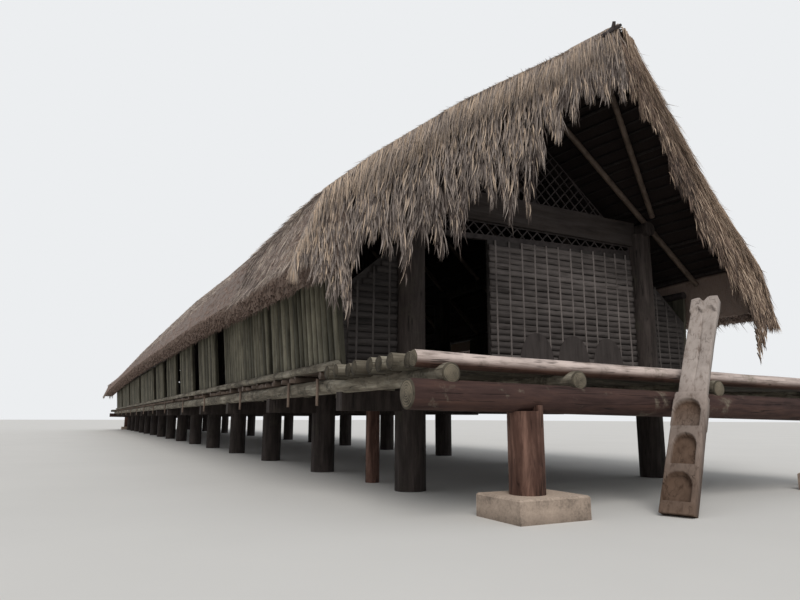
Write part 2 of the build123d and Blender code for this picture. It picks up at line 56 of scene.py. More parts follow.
# Places in the house, in metres: X across, Y back from the first columns, Z up from the ground
COLUMN_X = 1.03
COLUMN_R = 0.095
FIRST_COLUMNS_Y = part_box("left_columns")[0].y + COLUMN_R
LENGTH = 21.21
BAY = 1.515
FLOOR_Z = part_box("floor")[1].z
PLATE_UNDER_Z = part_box("wall_plates")[0].z
SIDES = ((-1, "left"), (1, "right"))
ENDS = ((0, "front"), (1, "rear"))
AXIS_X, AXIS_Y, AXIS_Z = (1.0, 0.0, 0.0), (0.0, 1.0, 0.0), (0.0, 0.0, 1.0)

# Walls: the leaning sides with their openings, and the tops of the woven end walls
DOOR_RIGHT_X = -0.425
WALL_FOOT_X = 1.485
WALL_LEAN = 0.09
WINDOW_BAYS = (2, 3, 4, 5, 6, 8, 10, 12)
WINDOW_FROM, WINDOW_TO = 0.130, 0.630
SLOT_YS = (1.405, 1.510)
HEAD_Z, HEAD_RISE = 1.622, 0.070
PANEL_Z, PANEL_FALL = 1.520, 0.98

# Roof: its front edge, the heights of the thatch, the ridge cap and the frame under them
ROOF_FRONT_Y = -0.85
CAP_END_Y, EAVE_END_Y = 0.86, 0.43
EAVE_X = 1.95
EAVE_INNER_X = 1.655
CAP_X, CAP_THICK, CAP_FOOT = 0.33, 0.046, 0.014
PROW_X = np.array((0.0, 0.6, 1.0, 1.5, 1.95))
PROW_Y = np.array((-0.88, -0.69, -0.56, -0.48, -0.445))
THATCH_X = np.array((0.0, 1.0, 1.5, 1.8, 1.95))
THATCH_Y = np.array((-0.95, -0.12, 1.25, 3.03, 8.5))
THATCH_Z = np.array(((2.826, 2.235, 1.860, 1.600, 1.190),
                     (2.966, 2.262, 1.872, 1.604, 1.208),
                     (3.125, 2.290, 1.860, 1.570, 1.225),
                     (3.255, 2.370, 1.880, 1.560, 1.275),
                     (3.515, 2.560, 1.990, 1.600, 1.335)))
FRAME_Y = np.array((-0.95, -0.12, 3.03))
RIDGE_UNDER_Z = np.array((2.696, 2.796, 3.000))
PLATE_OVER_Z = np.array((1.933, 1.970, 1.970))
RAFTER_D = 0.044
PURLIN_XS = (0.30, 0.65, 1.00, 1.33, 1.60)
LATH_R = 0.0085

# Fringes: places across a roof edge, and how much lower it hangs there on the left and on the right
FRINGE_X = (0, 0.1, 0.3, 0.6, 1.0, 1.45, 1.7, 1.95)
FRINGE_SHARE = {-1: (0.95, 0.85, 0.9, 1.5, 1.40, 1.1, 0.72, 0.1),
                1: (1.0, 0.9, 0.9, 1.1, 1.15, 1.3, 1.05, 0.3)}

# Decks: half their width, the fall of the worn surface, the logs and what bears them
DECK_HALF = 1.62
DECK_SINK = 0.016
DECK_INNER_Y = -0.1
DECK_LOGS = 13
LOG_PITCH = 0.082
LOG_Z = 0.6735
EDGE_LOG_Y = -1.130
BEARER_XS = (-1.475, -0.772, 0.215, 1.475)
BEARER_END_Y = -1.195
BEARER_Z = 0.6145
BEARER_R = 0.046
BEAM_END_X, BEAM_Y, BEAM_Z, BEAM_R = 1.665, -1.167, 0.523, 0.065
PEG_X = 1.532
PEG_YS = (0.285, 0.880, 2.335, 4.115, 5.740, 7.645, 9.4, 11.2, 12.9, 14.7, 16.3, 18.2, 19.9)

# Ladder: its foot and lean, and for each step the tread, the top of its arch and the arch's left edge
LADDER_FOOT = np.array((-0.456, -1.4296, 0.0))
LADDER_LEAN = np.array((0.513, 0.197, 0.882))
LADDER_LENGTH = 1.254
LADDER_STEPS = ((0.061, 0.205, -0.95), (0.244, 0.407, -0.72), (0.445, 0.599, -0.95))


def colour(name, description, *channels):
    """A colour property. Its default is read as 0 to 255 on each channel and kept as linear values."""
    parts = [c / 255 for c in channels]
    default = tuple(c / 12.92 if c <= 0.04045 else ((c + 0.055) / 1.055) ** 2.4 for c in parts)
    return bpy.props.FloatVectorProperty(name=name, description=description, default=default,
                                         subtype="COLOR", min=0, max=1)


def number(name, description, default, unit="NONE", least=0):
    """A number property."""
    return bpy.props.FloatProperty(name=name, description=description, default=default, min=least,
                                   unit=unit)


def size(name, description, default):
    """A length property in metres."""
    return number(name, description, default, "LENGTH")


def count(name, description, default):
    """A whole number property."""
    return bpy.props.IntProperty(name=name, description=description, default=default, min=1)


class ThatchSettings(bpy.types.PropertyGroup):
    """Sizes and colours of the thatch."""
    strand_width: size("Strand width", "Width of one bunch of grass at its root", 0.0068)
    strand_length: size("Strand length", "Visible length of one bunch on the slopes", 0.18)
    slope_strands: count("Slope strands", "Bunches on the front left quarter of the roof", 45000)
    far_strands: count("Far slope strands", "Bunches on each other quarter of the roof", 17500)
    rake_strands: count("Rake strands", "Bunches in the fringe of each front roof edge", 9500)
    eave_strands: count("Eave strands", "Bunches along each eave", 8500)
    cap_strands: count("Cap strands", "Bunches on the ridge cap", 9000)
    fringe_left: size("Left fringe", "How far the left fringe hangs under the roof", 0.55)
    fringe_right: size("Right fringe", "How far the right fringe hangs under the roof", 0.42)
    left_slant: number("Left slant", "How far the left fringe runs down the slope for its fall", 0.25)
    right_slant: number("Right slant", "How far the right fringe runs down the slope for its fall", 0.5)
    dark: colour("Dark grass", "Shaded and rotten grass", 80, 70, 65)
    grey: colour("Grey grass", "Weathered grass of the slopes", 152, 140, 133)
    straw: colour("Straw", "Fresh straw highlights", 204, 190, 176)
    tan: colour("Tan straw", "Hanging grass of the left roof edge", 154, 143, 136)
    tan_tip: colour("Tan tips", "Palest grass of the roof edges", 204, 182, 160)
    orange: colour("Orange straw", "Hanging grass of the right roof edge", 138, 118, 104)
    cut: colour("Cut face", "Trimmed band along the eaves", 148, 129, 119)
    smoke: colour("Smoked grass", "Grass seen from inside the roof", 46, 38, 36)


class TimberSettings(bpy.types.PropertyGroup):
    """Colours of the logs and boards."""
    bark_dark: colour("Dark bark", "Cracks and damp of the posts", 52, 34, 28)
    bark: colour("Bark", "Red-brown posts", 82, 58, 49)
    bark_pale: colour("Pale bark", "Scuffed ridges of the posts", 138, 106, 92)
    beam: colour("Beam wood", "Dark red-brown deck beams", 64, 46, 42)
    moss: colour("Bearer wood", "Grey-brown bearers and rails", 122, 114, 100)
    moss_dark: colour("Bearer shade", "Damp of bearers, rails and deck logs", 62, 58, 50)
    moss_pale: colour("Lichen", "Pale lichen on timbers", 172, 166, 150)
    bleached: colour("Bleached wood", "Sun-bleached edge log", 204, 188, 180)
    # Painted shade: the colour of the edge log's lower half.
    edge_log_shade: colour("Edge log shade", "Painted shade on the lower face of the edge log", 104, 82, 72)
    ladder: colour("Ladder wood", "Grey worn plank of the ladder", 164, 153, 146)
    ladder_dark: colour("Ladder cracks", "Cracks and shade of the plank", 104, 88, 78)
    column: colour("Column wood", "Smoke-dark columns", 56, 49, 46)
    end_grain: colour("End grain", "Sawn and weathered log ends", 106, 98, 84)
    board: colour("Board wood", "Flat arched boards", 66, 60, 58)
    stone: colour("Concrete", "Cast footings", 160, 144, 130)
    peg_diameter: size("Peg diameter", "Diameter of the pegs under the floor", 0.018)


class BambooSettings(bpy.types.PropertyGroup):
    """Sizes and colours of the split bamboo."""
    culm_width: size("Culm width", "Width of a split culm on the side walls", 0.069)
    culm_pitch: size("Culm pitch", "Distance between split culms", 0.092)
    culm_rise: size("Culm rise", "How far a split culm stands off the wall", 0.017)
    rib_pitch: size("Rib pitch", "Distance between upright ribs of the woven wall", 0.115)
    slat_pitch: size("Slat pitch", "Distance between woven slats", 0.042)
    lath_count: count("Laths", "Laths under each slope of the roof", 24)
    culm: colour("Wall bamboo", "Aged split culms", 128, 123, 106)
    culm_dark: colour("Wall bamboo shade", "Dirt on the split culms", 66, 62, 54)
    pole: colour("Bamboo poles", "Joists and rafters", 104, 90, 80)
    pole_dark: colour("Bamboo poles shade", "Dirt on the poles", 58, 50, 45)
    weave: colour("Woven slats", "Woven wall slats", 104, 97, 94)
    # The gaps of the woven wall are painted shade: the wall behind takes a third of the woven colours.
    weave_dark: colour("Woven shade", "Gaps and dirt of the woven wall", 58, 52, 49)
    smoke: colour("Smoked bamboo", "Smoke-dark rafters, purlins and lattice", 54, 48, 47)


class StageSettings(bpy.types.PropertyGroup):
    """Floor, lamps and camera."""
    floor: colour("Floor", "Pale floor under the house", 214, 212, 208)
    backdrop: colour("Backdrop", "Backdrop seen by the camera", 236, 238, 240)
    sky: number("Sky strength", "Light from all round", 0.62)
    lamp: number("Lamp strength", "Light from the broad lamp", 1.7)
    lens: number("Lens", "Focal length of the camera", 28.16, "CAMERA", 1)


class LonghouseSettings(bpy.types.PropertyGroup):
    """All settings of the longhouse."""
    thatch: bpy.props.PointerProperty(type=ThatchSettings)
    timber: bpy.props.PointerProperty(type=TimberSettings)
    bamboo: bpy.props.PointerProperty(type=BambooSettings)
    stage: bpy.props.PointerProperty(type=StageSettings)


# Meshes

def put(name, data):
    """A new object in the scene."""
    made = bpy.data.objects.new(name, data)
    bpy.context.scene.collection.objects.link(made)
    return made


class Shape:
    """Points and faces gathered for one mesh; each part brings its own tone, radial value and finish."""

    def __init__(self):
        self.points, self.faces, self.finish, self.tone, self.radial = [], [], [], [], []
        self.start = self.total = 0

    def add(self, points, faces, tone=0.5, radial=1.0, finish=0):
        """Appends a part: points (n, 3), faces (m, 3 or 4), and values for all of it or for each point."""
        points = np.asarray(points, float).reshape(-1, 3)
        self.start = self.total
        self.total += len(points)
        self.points.append(points)
        for kept, given in ((self.tone, tone), (self.radial, radial)):
            kept.append(np.broadcast_to(np.asarray(given, float), (len(points),)))
        self.more(faces, finish)

    def more(self, faces, finish=0):
        """Adds faces on the points of the part last added, such as the caps of a tube."""
        self.faces.append(np.asarray(faces, np.int64) + self.start)
        self.finish.append(np.full(len(faces), finish, np.int32))

    def build(self, name, finishes, slot, smooth=True):
        """Makes the object, with its place in its mesh, and lets it ride on the house. The finishes are
        names with a space between them."""
        points = np.concatenate(self.points)
        points[:, 1] += FIRST_COLUMNS_Y
        loops = np.concatenate([f.ravel() for f in self.faces])
        totals = np.concatenate([np.full(len(f), f.shape[1]) for f in self.faces])
        starts = np.concatenate(([0], np.cumsum(totals)[:-1]))
        mesh = bpy.data.meshes.new(name)
        mesh.vertices.add(len(points))
        mesh.vertices.foreach_set("co", points.ravel())
        mesh.loops.add(len(loops))
        mesh.loops.foreach_set("vertex_index", loops.astype(np.int32))
        mesh.polygons.add(len(totals))
        mesh.polygons.foreach_set("loop_start", starts.astype(np.int32))
        mesh.polygons.foreach_set("material_index", np.concatenate(self.finish))
        mesh.polygons.foreach_set("use_smooth", np.full(len(totals), smooth))
        mesh.update(calc_edges=True)
        for label, values in (("tone", self.tone), ("radial", self.radial)):
            layer = mesh.attributes.new(label, "FLOAT", "POINT")
            layer.data.foreach_set("value", np.concatenate(values).astype(np.float32))
        for finish in finishes.split():
            mesh.materials.append(bpy.data.materials[finish])
        made = put(name, mesh)
        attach(made, "root")
        return made


def unit(vectors):
    """Vectors scaled to length one."""
    return vectors / np.maximum(np.linalg.norm(vectors, axis=-1, keepdims=True), 1e-9)


def ripple(places, rng, waves=4, slowest=1.0):
    """A smooth random curve: sines of rising frequency and falling height, with random phases."""
    total = np.zeros_like(places, float)
    for i in range(waves):
        total += np.sin(places * slowest * 2 ** i + rng.uniform(0, 2 * math.pi)) / 1.7 ** i
    return total / 2


def round_angles(sides):
    """Angles of evenly spaced points round a circle."""
    return np.arange(sides) * 2 * math.pi / sides


def ring_faces(rows, sides):
    """Quads that join each ring of points to the next, wound so that they face outwards."""
    a = np.arange((rows - 1) * sides).reshape(rows - 1, sides)
    b = np.roll(a, -1, axis=1)
    return np.stack((a, a + sides, b + sides, b), axis=-1).reshape(-1, 4)


def tube(shape, path, radii, sides=10, tone=0.5, finish=0, cap=None, dome=0.0, start_angle=0.0,
         squash=1.0, reference=AXIS_Z):
    """A round bar: circles carried along a path, closed at both ends by a fan round a centre point. radii
    is one value, one a row, or one for each point of each row; squash flattens it along the second axis."""
    path = np.asarray(path, float)
    rows = len(path)
    along = unit(np.gradient(path, axis=0))
    side = unit(np.cross(along, np.asarray(reference, float)))
    up = np.cross(side, along)
    angle = start_angle + round_angles(sides)
    radii = np.asarray(radii, float)
    radii = radii[:, None] if radii.ndim == 1 else radii
    ring = (np.cos(angle)[None, :, None] * side[:, None, :]
            + squash * np.sin(angle)[None, :, None] * up[:, None, :]) * radii[..., None]
    points = (path[:, None, :] + ring).reshape(-1, 3)
    ends = np.stack((path[0] - along[0] * dome, path[-1] + along[-1] * dome))
    shape.add(np.concatenate((points, ends)), ring_faces(rows, sides), tone,
              np.concatenate((np.ones(rows * sides), np.zeros(2))), finish)
    i = np.arange(sides)
    j = np.roll(i, -1)
    last = (rows - 1) * sides
    near = np.stack((np.full(sides, rows * sides), i, j), axis=-1)
    far = np.stack((np.full(sides, rows * sides + 1), last + j, last + i), axis=-1)
    shape.more(np.concatenate((near, far)), finish if cap is None else cap)


STRAIGHT_FACES = ((0, 1, 2), (0, 3, 1), (1, 3, 2), (2, 3, 0))
BENT_FACES = ((0, 1, 2), (0, 3, 4), (0, 4, 1), (1, 4, 5), (1, 5, 2), (2, 5, 3), (2, 3, 0),
              (3, 6, 4), (4, 6, 5), (5, 6, 3))


def strands(roots, tips, widths, tone, rng, middles=None):
    """Thin pointed bunches. Each is a triangle carried from its root to a point at its tip; with middles
    it passes a second, smaller triangle there, so that it bends."""
    aims = unit(tips - roots)
    helper = np.where(np.abs(aims[:, 2:]) > 0.8, np.array(AXIS_X), np.array(AXIS_Z))
    side = unit(np.cross(aims, helper))
    up = np.cross(side, aims)
    angle = rng.uniform(0, 2 * math.pi, len(roots))[:, None] + round_angles(3)
    ring = np.cos(angle)[..., None] * side[:, None, :] + np.sin(angle)[..., None] * up[:, None, :]
    ring = ring * (widths / 1.7)[:, None, None]
    base, tip = roots[:, None, :] + ring, tips[:, None, :]
    if middles is None:
        points, one, radial = np.concatenate((base, tip), axis=1), STRAIGHT_FACES, (0, 0, 0, 1)
    else:
        waist = middles[:, None, :] + ring * 0.8
        points, one = np.concatenate((base, waist, tip), axis=1), BENT_FACES
        radial = (0, 0, 0, 0.5, 0.5, 0.5, 1)
    each = points.shape[1]
    faces = (np.arange(len(roots))[:, None, None] * each + np.array(one)).reshape(-1, 3)
    shape = Shape()
    shape.add(points, faces, np.repeat(tone, each), np.tile(radial, len(roots)))
    return shape


# The roof's surfaces

def fold(y):
    """Distance back from the nearer row of end columns, so the rear mirrors the front."""
    return np.minimum(y, LENGTH - y)


def prow(x):
    """Where the roof's front edge lies at a distance from the ridge."""
    return np.interp(np.abs(x), PROW_X, PROW_Y)


def thatch_top(x, y):
    """Height of the thatch: straight between stations along the roof and between places across it."""
    y = fold(np.asarray(y, float))
    x = np.abs(np.asarray(x, float))
    columns = np.stack([np.interp(y, THATCH_Y, THATCH_Z[:, i]) for i in range(len(THATCH_X))], axis=-1)
    place = np.clip(np.searchsorted(THATCH_X, x, side="right") - 1, 0, len(THATCH_X) - 2)
    share = np.clip((x - THATCH_X[place]) / (THATCH_X[place + 1] - THATCH_X[place]), 0, 1)
    low = np.take_along_axis(columns, place[..., None], -1)[..., 0]
    high = np.take_along_axis(columns, place[..., None] + 1, -1)[..., 0]
    return low + (high - low) * share


def roof_top(x, y):
    """Height of the thatch with the ridge cap on it, whose sides fall straight from the ridge."""
    across = np.abs(x)
    ridge = thatch_top(np.zeros_like(across), y) + CAP_THICK
    foot = thatch_top(np.full_like(across, CAP_X), y) + CAP_FOOT
    return np.where(across < CAP_X, ridge + (foot - ridge) * across / CAP_X, thatch_top(x, y))


def rafter_line(x, y, lift):
    """Height over the underside of the rafters, which falls straight from the ridge to the roof plates."""
    y = fold(np.asarray(y, float))
    ridge = np.interp(y, FRAME_Y, RIDGE_UNDER_Z)
    fall = (ridge - np.interp(y, FRAME_Y, PLATE_OVER_Z)) / COLUMN_X
    return ridge - fall * np.abs(x) + lift * np.sqrt(1 + fall ** 2)


# Finishes

BLACK, GREY, WHITE = (0.0, 0.0, 0.0), (0.5, 0.5, 0.5), (1.0, 1.0, 1.0)
GRAIN_X, GRAIN_Y, GRAIN_Z = (0.12, 1.0, 1.0), (1.0, 0.12, 1.0), (1.0, 1.0, 0.12)


def shade(tint, share):
    """A colour made lighter or darker."""
    return tuple(min(1, c * share) for c in tint)


def shades(tints, share):
    """Colours made lighter or darker together."""
    return [shade(tint, share) for tint in tints]


class Nodes:
    """A node tree that is filled one node at a time."""

    def __init__(self, tree):
        self.tree = tree

    def give(self, socket, value):
        """Sets a socket to a value or a colour, or joins it to another socket."""
        if isinstance(value, bpy.types.NodeSocket):
            self.tree.links.new(value, socket)
        else:
            socket.default_value = (*value, 1) if socket.type == "RGBA" else value

    def node(self, kind, **inputs):
        """A new node with what its named inputs get."""
        made = self.tree.nodes.new("ShaderNode" + kind)
        for name, value in inputs.items():
            self.give(made.inputs[name.replace("_", " ")], value)
        return made


class Coat(Nodes):
    """One material and the few kinds of node that its pattern needs."""

    def __init__(self, name):
        self.material = bpy.data.materials.new(name)
        self.material.use_nodes = True
        super().__init__(self.material.node_tree)
        self.shader = self.tree.nodes["Principled BSDF"]
        self.shader.inputs["Specular IOR Level"].default_value = 0.25
        self.place = self.node("TexCoord").outputs["Object"]

    def stretched(self, scale):
        """Object coordinates scaled by axis, so that a pattern runs along the grain."""
        return self.node("Mapping", Vector=self.place, Scale=scale).outputs["Vector"]

    def noise(self, vector, scale, detail=5.0, roughness=0.6, distortion=0.0):
        """Cloudy noise."""
        return self.node("TexNoise", Vector=vector, Scale=scale, Detail=detail, Roughness=roughness,
                         Distortion=distortion).outputs["Fac"]

    def attribute(self, name):
        """A value kept on the piece's own points."""
        node = self.node("Attribute")
        node.attribute_name = name
        return node.outputs["Fac"]

    def axes(self, vector):
        """The X, Y and Z of a vector."""
        return self.node("SeparateXYZ", Vector=vector).outputs

    def normal(self):
        """The X, Y and Z of the way that the surface looks."""
        return self.axes(self.node("NewGeometry").outputs["Normal"])

    def outward(self):
        """How far the surface looks up, or out to its own side of the house."""
        normal = self.normal()
        aside = self.math("MULTIPLY", normal["X"], self.axes(self.place)["X"])
        return self.math("ADD", normal["Z"], self.math("MULTIPLY", aside, 0.5))

    def spread(self, source, low, high, to_low=0.0, to_high=1.0):
        """A value brought from one range to another and held inside it."""
        return self.node("MapRange", Value=source, From_Min=low, From_Max=high, To_Min=to_low,
                         To_Max=to_high).outputs["Result"]

    def math(self, operation, first, second=0.0):
        """Two values added, multiplied or subtracted, or the size or the sine of one."""
        node = self.node("Math")
        node.operation = operation
        self.give(node.inputs[0], first)
        self.give(node.inputs[1], second)
        return node.outputs["Value"]

    def ramp(self, factor, *stops):
        """Colours along a value; each stop is a place and a colour."""
        node = self.node("ValToRGB", Fac=factor)
        marks = node.color_ramp.elements
        for mark, (place, tint) in ((marks[0], stops[0]), (marks[1], stops[-1])):
            mark.position, mark.color = place, (*tint, 1)
        for place, tint in stops[1:-1]:
            marks.new(place).color = (*tint, 1)
        return node.outputs["Color"]

    def blend(self, factor, first, second, kind="MIX"):
        """Two colours mixed by a value."""
        node = self.node("Mix")
        node.data_type = "RGBA"
        node.blend_type = kind
        colours = [s for s in node.inputs if s.type == "RGBA"]
        for socket, value in zip((node.inputs[0], *colours), (factor, first, second)):
            self.give(socket, value)
        return [s for s in node.outputs if s.type == "RGBA"][0]

    def times(self, first, second):
        """Two colours multiplied."""
        return self.blend(1.0, first, second, "MULTIPLY")

    def close(self, tint, rough, height, relief):
        """Joins colour, roughness and bump to the shader."""
        bump = self.node("Bump", Strength=0.9, Distance=relief, Height=height)
        self.give(self.shader.inputs["Base Color"], tint)
        self.give(self.shader.inputs["Roughness"], rough)
        self.give(self.shader.inputs["Normal"], bump.outputs["Normal"])


def timber(name, dark, middle, pale, grain, patch=None, patch_share=0.5, relief=0.006, cracks=0.0,
           rough=(0.72, 0.95), scale=26.0, shaded=None):
    """Weathered timber: noise drawn out along the grain, thin broken cracks along it where a still more
    drawn-out noise passes its middle, and patches of lichen. shaded is what the colour is multiplied by
    where the piece's own tone is nil."""
    coat = Coat(name)
    fine = coat.noise(coat.stretched(grain), scale, 8.0, 0.65, 0.3)
    broad = coat.spread(coat.noise(coat.place, 4.2, 4.0, 0.6), 0.3, 0.7, 0.72, 1.12)
    tint = coat.ramp(fine, (0.26, dark), (0.48, middle), (0.72, pale))
    tint = coat.times(tint, coat.ramp(broad, (0.5, GREY), (1.0, WHITE)))
    height = fine
    if patch is not None:
        where = coat.spread(coat.noise(coat.place, 7.0, 6.0, 0.7), 0.62 - patch_share * 0.35,
                            0.74 - patch_share * 0.3)
        speckle = coat.spread(coat.noise(coat.place, 60.0, 3.0, 0.6), 0.35, 0.65, 0.4, 1.0)
        tint = coat.blend(coat.math("MULTIPLY", where, speckle), tint, patch)
    if cracks:
        split = coat.noise(coat.stretched([g if g == 1 else g * 0.35 for g in grain]), scale, 1.5, 0.5, 0.2)
        near = coat.math("ABSOLUTE", coat.math("SUBTRACT", split, 0.5))
        broken = coat.spread(coat.noise(coat.place, 9.0, 2.0), 0.47, 0.58)
        line = coat.math("MULTIPLY", coat.spread(near, 0.0, 0.022 * cracks, 1.0, 0.0), broken)
        tint = coat.blend(coat.math("MULTIPLY", line, 0.75), tint, shade(dark, 0.4))
        height = coat.math("SUBTRACT", fine, coat.math("MULTIPLY", line, 0.9))
    if shaded is not None:
        tint = coat.times(tint, coat.ramp(coat.attribute("tone"), (0.0, shaded), (1.0, WHITE)))
    coat.close(tint, coat.spread(fine, 0.3, 0.7, rough[1], rough[0]), height, relief)


def grass(name, dark, middle, pale, under=None, cut=None):
    """Thatch: each bunch has its own tone, with painted shade towards its root, fine streaks and broad
    weather stains.
    With under it is the bed below the bunches instead, of that colour where it looks down, and of the cut
    colour along the eaves."""
    coat = Coat(name)
    fine = coat.noise(coat.stretched((1.0, 3.0, 0.8)), 45.0, 6.0, 0.7)
    stain = coat.noise(coat.place, 1.4, 5.0, 0.65)
    value = coat.spread(fine, 0.25, 0.75, 0.0, 0.5)
    if under is None:
        value = coat.math("ADD", coat.math("MULTIPLY", value, 0.5),
                          coat.math("MULTIPLY", coat.attribute("tone"), 0.75))
    else:
        value = coat.math("ADD", value, 0.3)
    value = coat.math("ADD", value, coat.spread(stain, 0.3, 0.7, -0.14, 0.14))
    tint = coat.ramp(value, (0.12, dark), (0.5, middle), (0.92, pale))
    if under is None:
        # Painted shade: each bunch is darker towards its root, where the bunches over it would shade it.
        tint = coat.times(tint, coat.ramp(coat.attribute("radial"), (0.0, (0.5, 0.48, 0.47)), (0.55, WHITE)))
    else:
        across = coat.math("ABSOLUTE", coat.axes(coat.place)["X"])
        face = coat.ramp(value, (0.12, shade(cut, 0.5)), (0.55, cut), (0.92, pale))
        # Past the inner eave line the underside takes the cut colour; in the bed it is a lighter copy,
        # painted light on the eave's underside.
        below = coat.blend(coat.spread(across, EAVE_INNER_X - 0.02, EAVE_INNER_X), under, face)
        band = coat.times(face, (0.62, 0.66, 0.68))
        uneven = coat.math("ADD", across, coat.spread(stain, 0.3, 0.7, -0.07, 0.07))
        above = coat.blend(coat.spread(uneven, 1.74, 1.90), tint, band)
        tint = coat.blend(coat.spread(coat.outward(), 0.05, 0.25), below, above)
    coat.close(tint, coat.spread(fine, 0.3, 0.7, 0.98, 0.8), fine, 0.01)


def end_wood(name, middle, dark):
    """Log ends: growth rings by the distance from the centre, made uneven by noise, and stains."""
    coat = Coat(name)
    radial = coat.attribute("radial")
    wobble = coat.math("MULTIPLY", coat.noise(coat.place, 30.0, 4.0, 0.6), 0.25)
    rings = coat.math("SINE", coat.math("MULTIPLY", coat.math("ADD", radial, wobble), 34.0))
    stain = coat.noise(coat.place, 16.0, 5.0, 0.7)
    value = coat.math("ADD", coat.math("MULTIPLY", rings, 0.12), stain)
    tint = coat.ramp(value, (0.3, dark), (0.52, middle), (0.75, shade(middle, 1.35)))
    rim = coat.spread(radial, 0.86, 1.0, 1.0, 0.45)
    tint = coat.times(tint, coat.ramp(rim, (0.0, BLACK), (1.0, WHITE)))
    coat.close(tint, coat.spread(stain, 0.3, 0.7, 0.95, 0.8), value, 0.003)


def cast_stone(name, middle, dark):
    """Rough cast concrete: sand speckle, stains, damp at the foot and painted light on top, speckled by the
    sand.
    """
    coat = Coat(name)
    sand = coat.noise(coat.place, 90.0, 5.0, 0.7)
    stain = coat.noise(coat.place, 9.0, 5.0, 0.65)
    value = coat.math("ADD", coat.math("MULTIPLY", sand, 0.4), coat.math("MULTIPLY", stain, 0.6))
    tint = coat.ramp(value, (0.34, dark), (0.5, middle), (0.68, shade(middle, 1.35)))
    damp = coat.spread(coat.axes(coat.place)["Z"], 0.0, 0.05, 0.62, 1.0)
    tint = coat.times(tint, coat.ramp(damp, (0.0, BLACK), (1.0, WHITE)))
    # Painted light: faces that look up are lightened, speckled by the sand.
    painted_top_light = coat.math("MULTIPLY", coat.spread(coat.normal()["Z"], 0.6, 0.95),
                     coat.spread(sand, 0.35, 0.6, 0.3, 0.8))
    tint = coat.blend(painted_top_light, tint, shade(middle, 1.7))
    coat.close(tint, coat.spread(sand, 0.3, 0.7, 0.98, 0.85), value, 0.004)


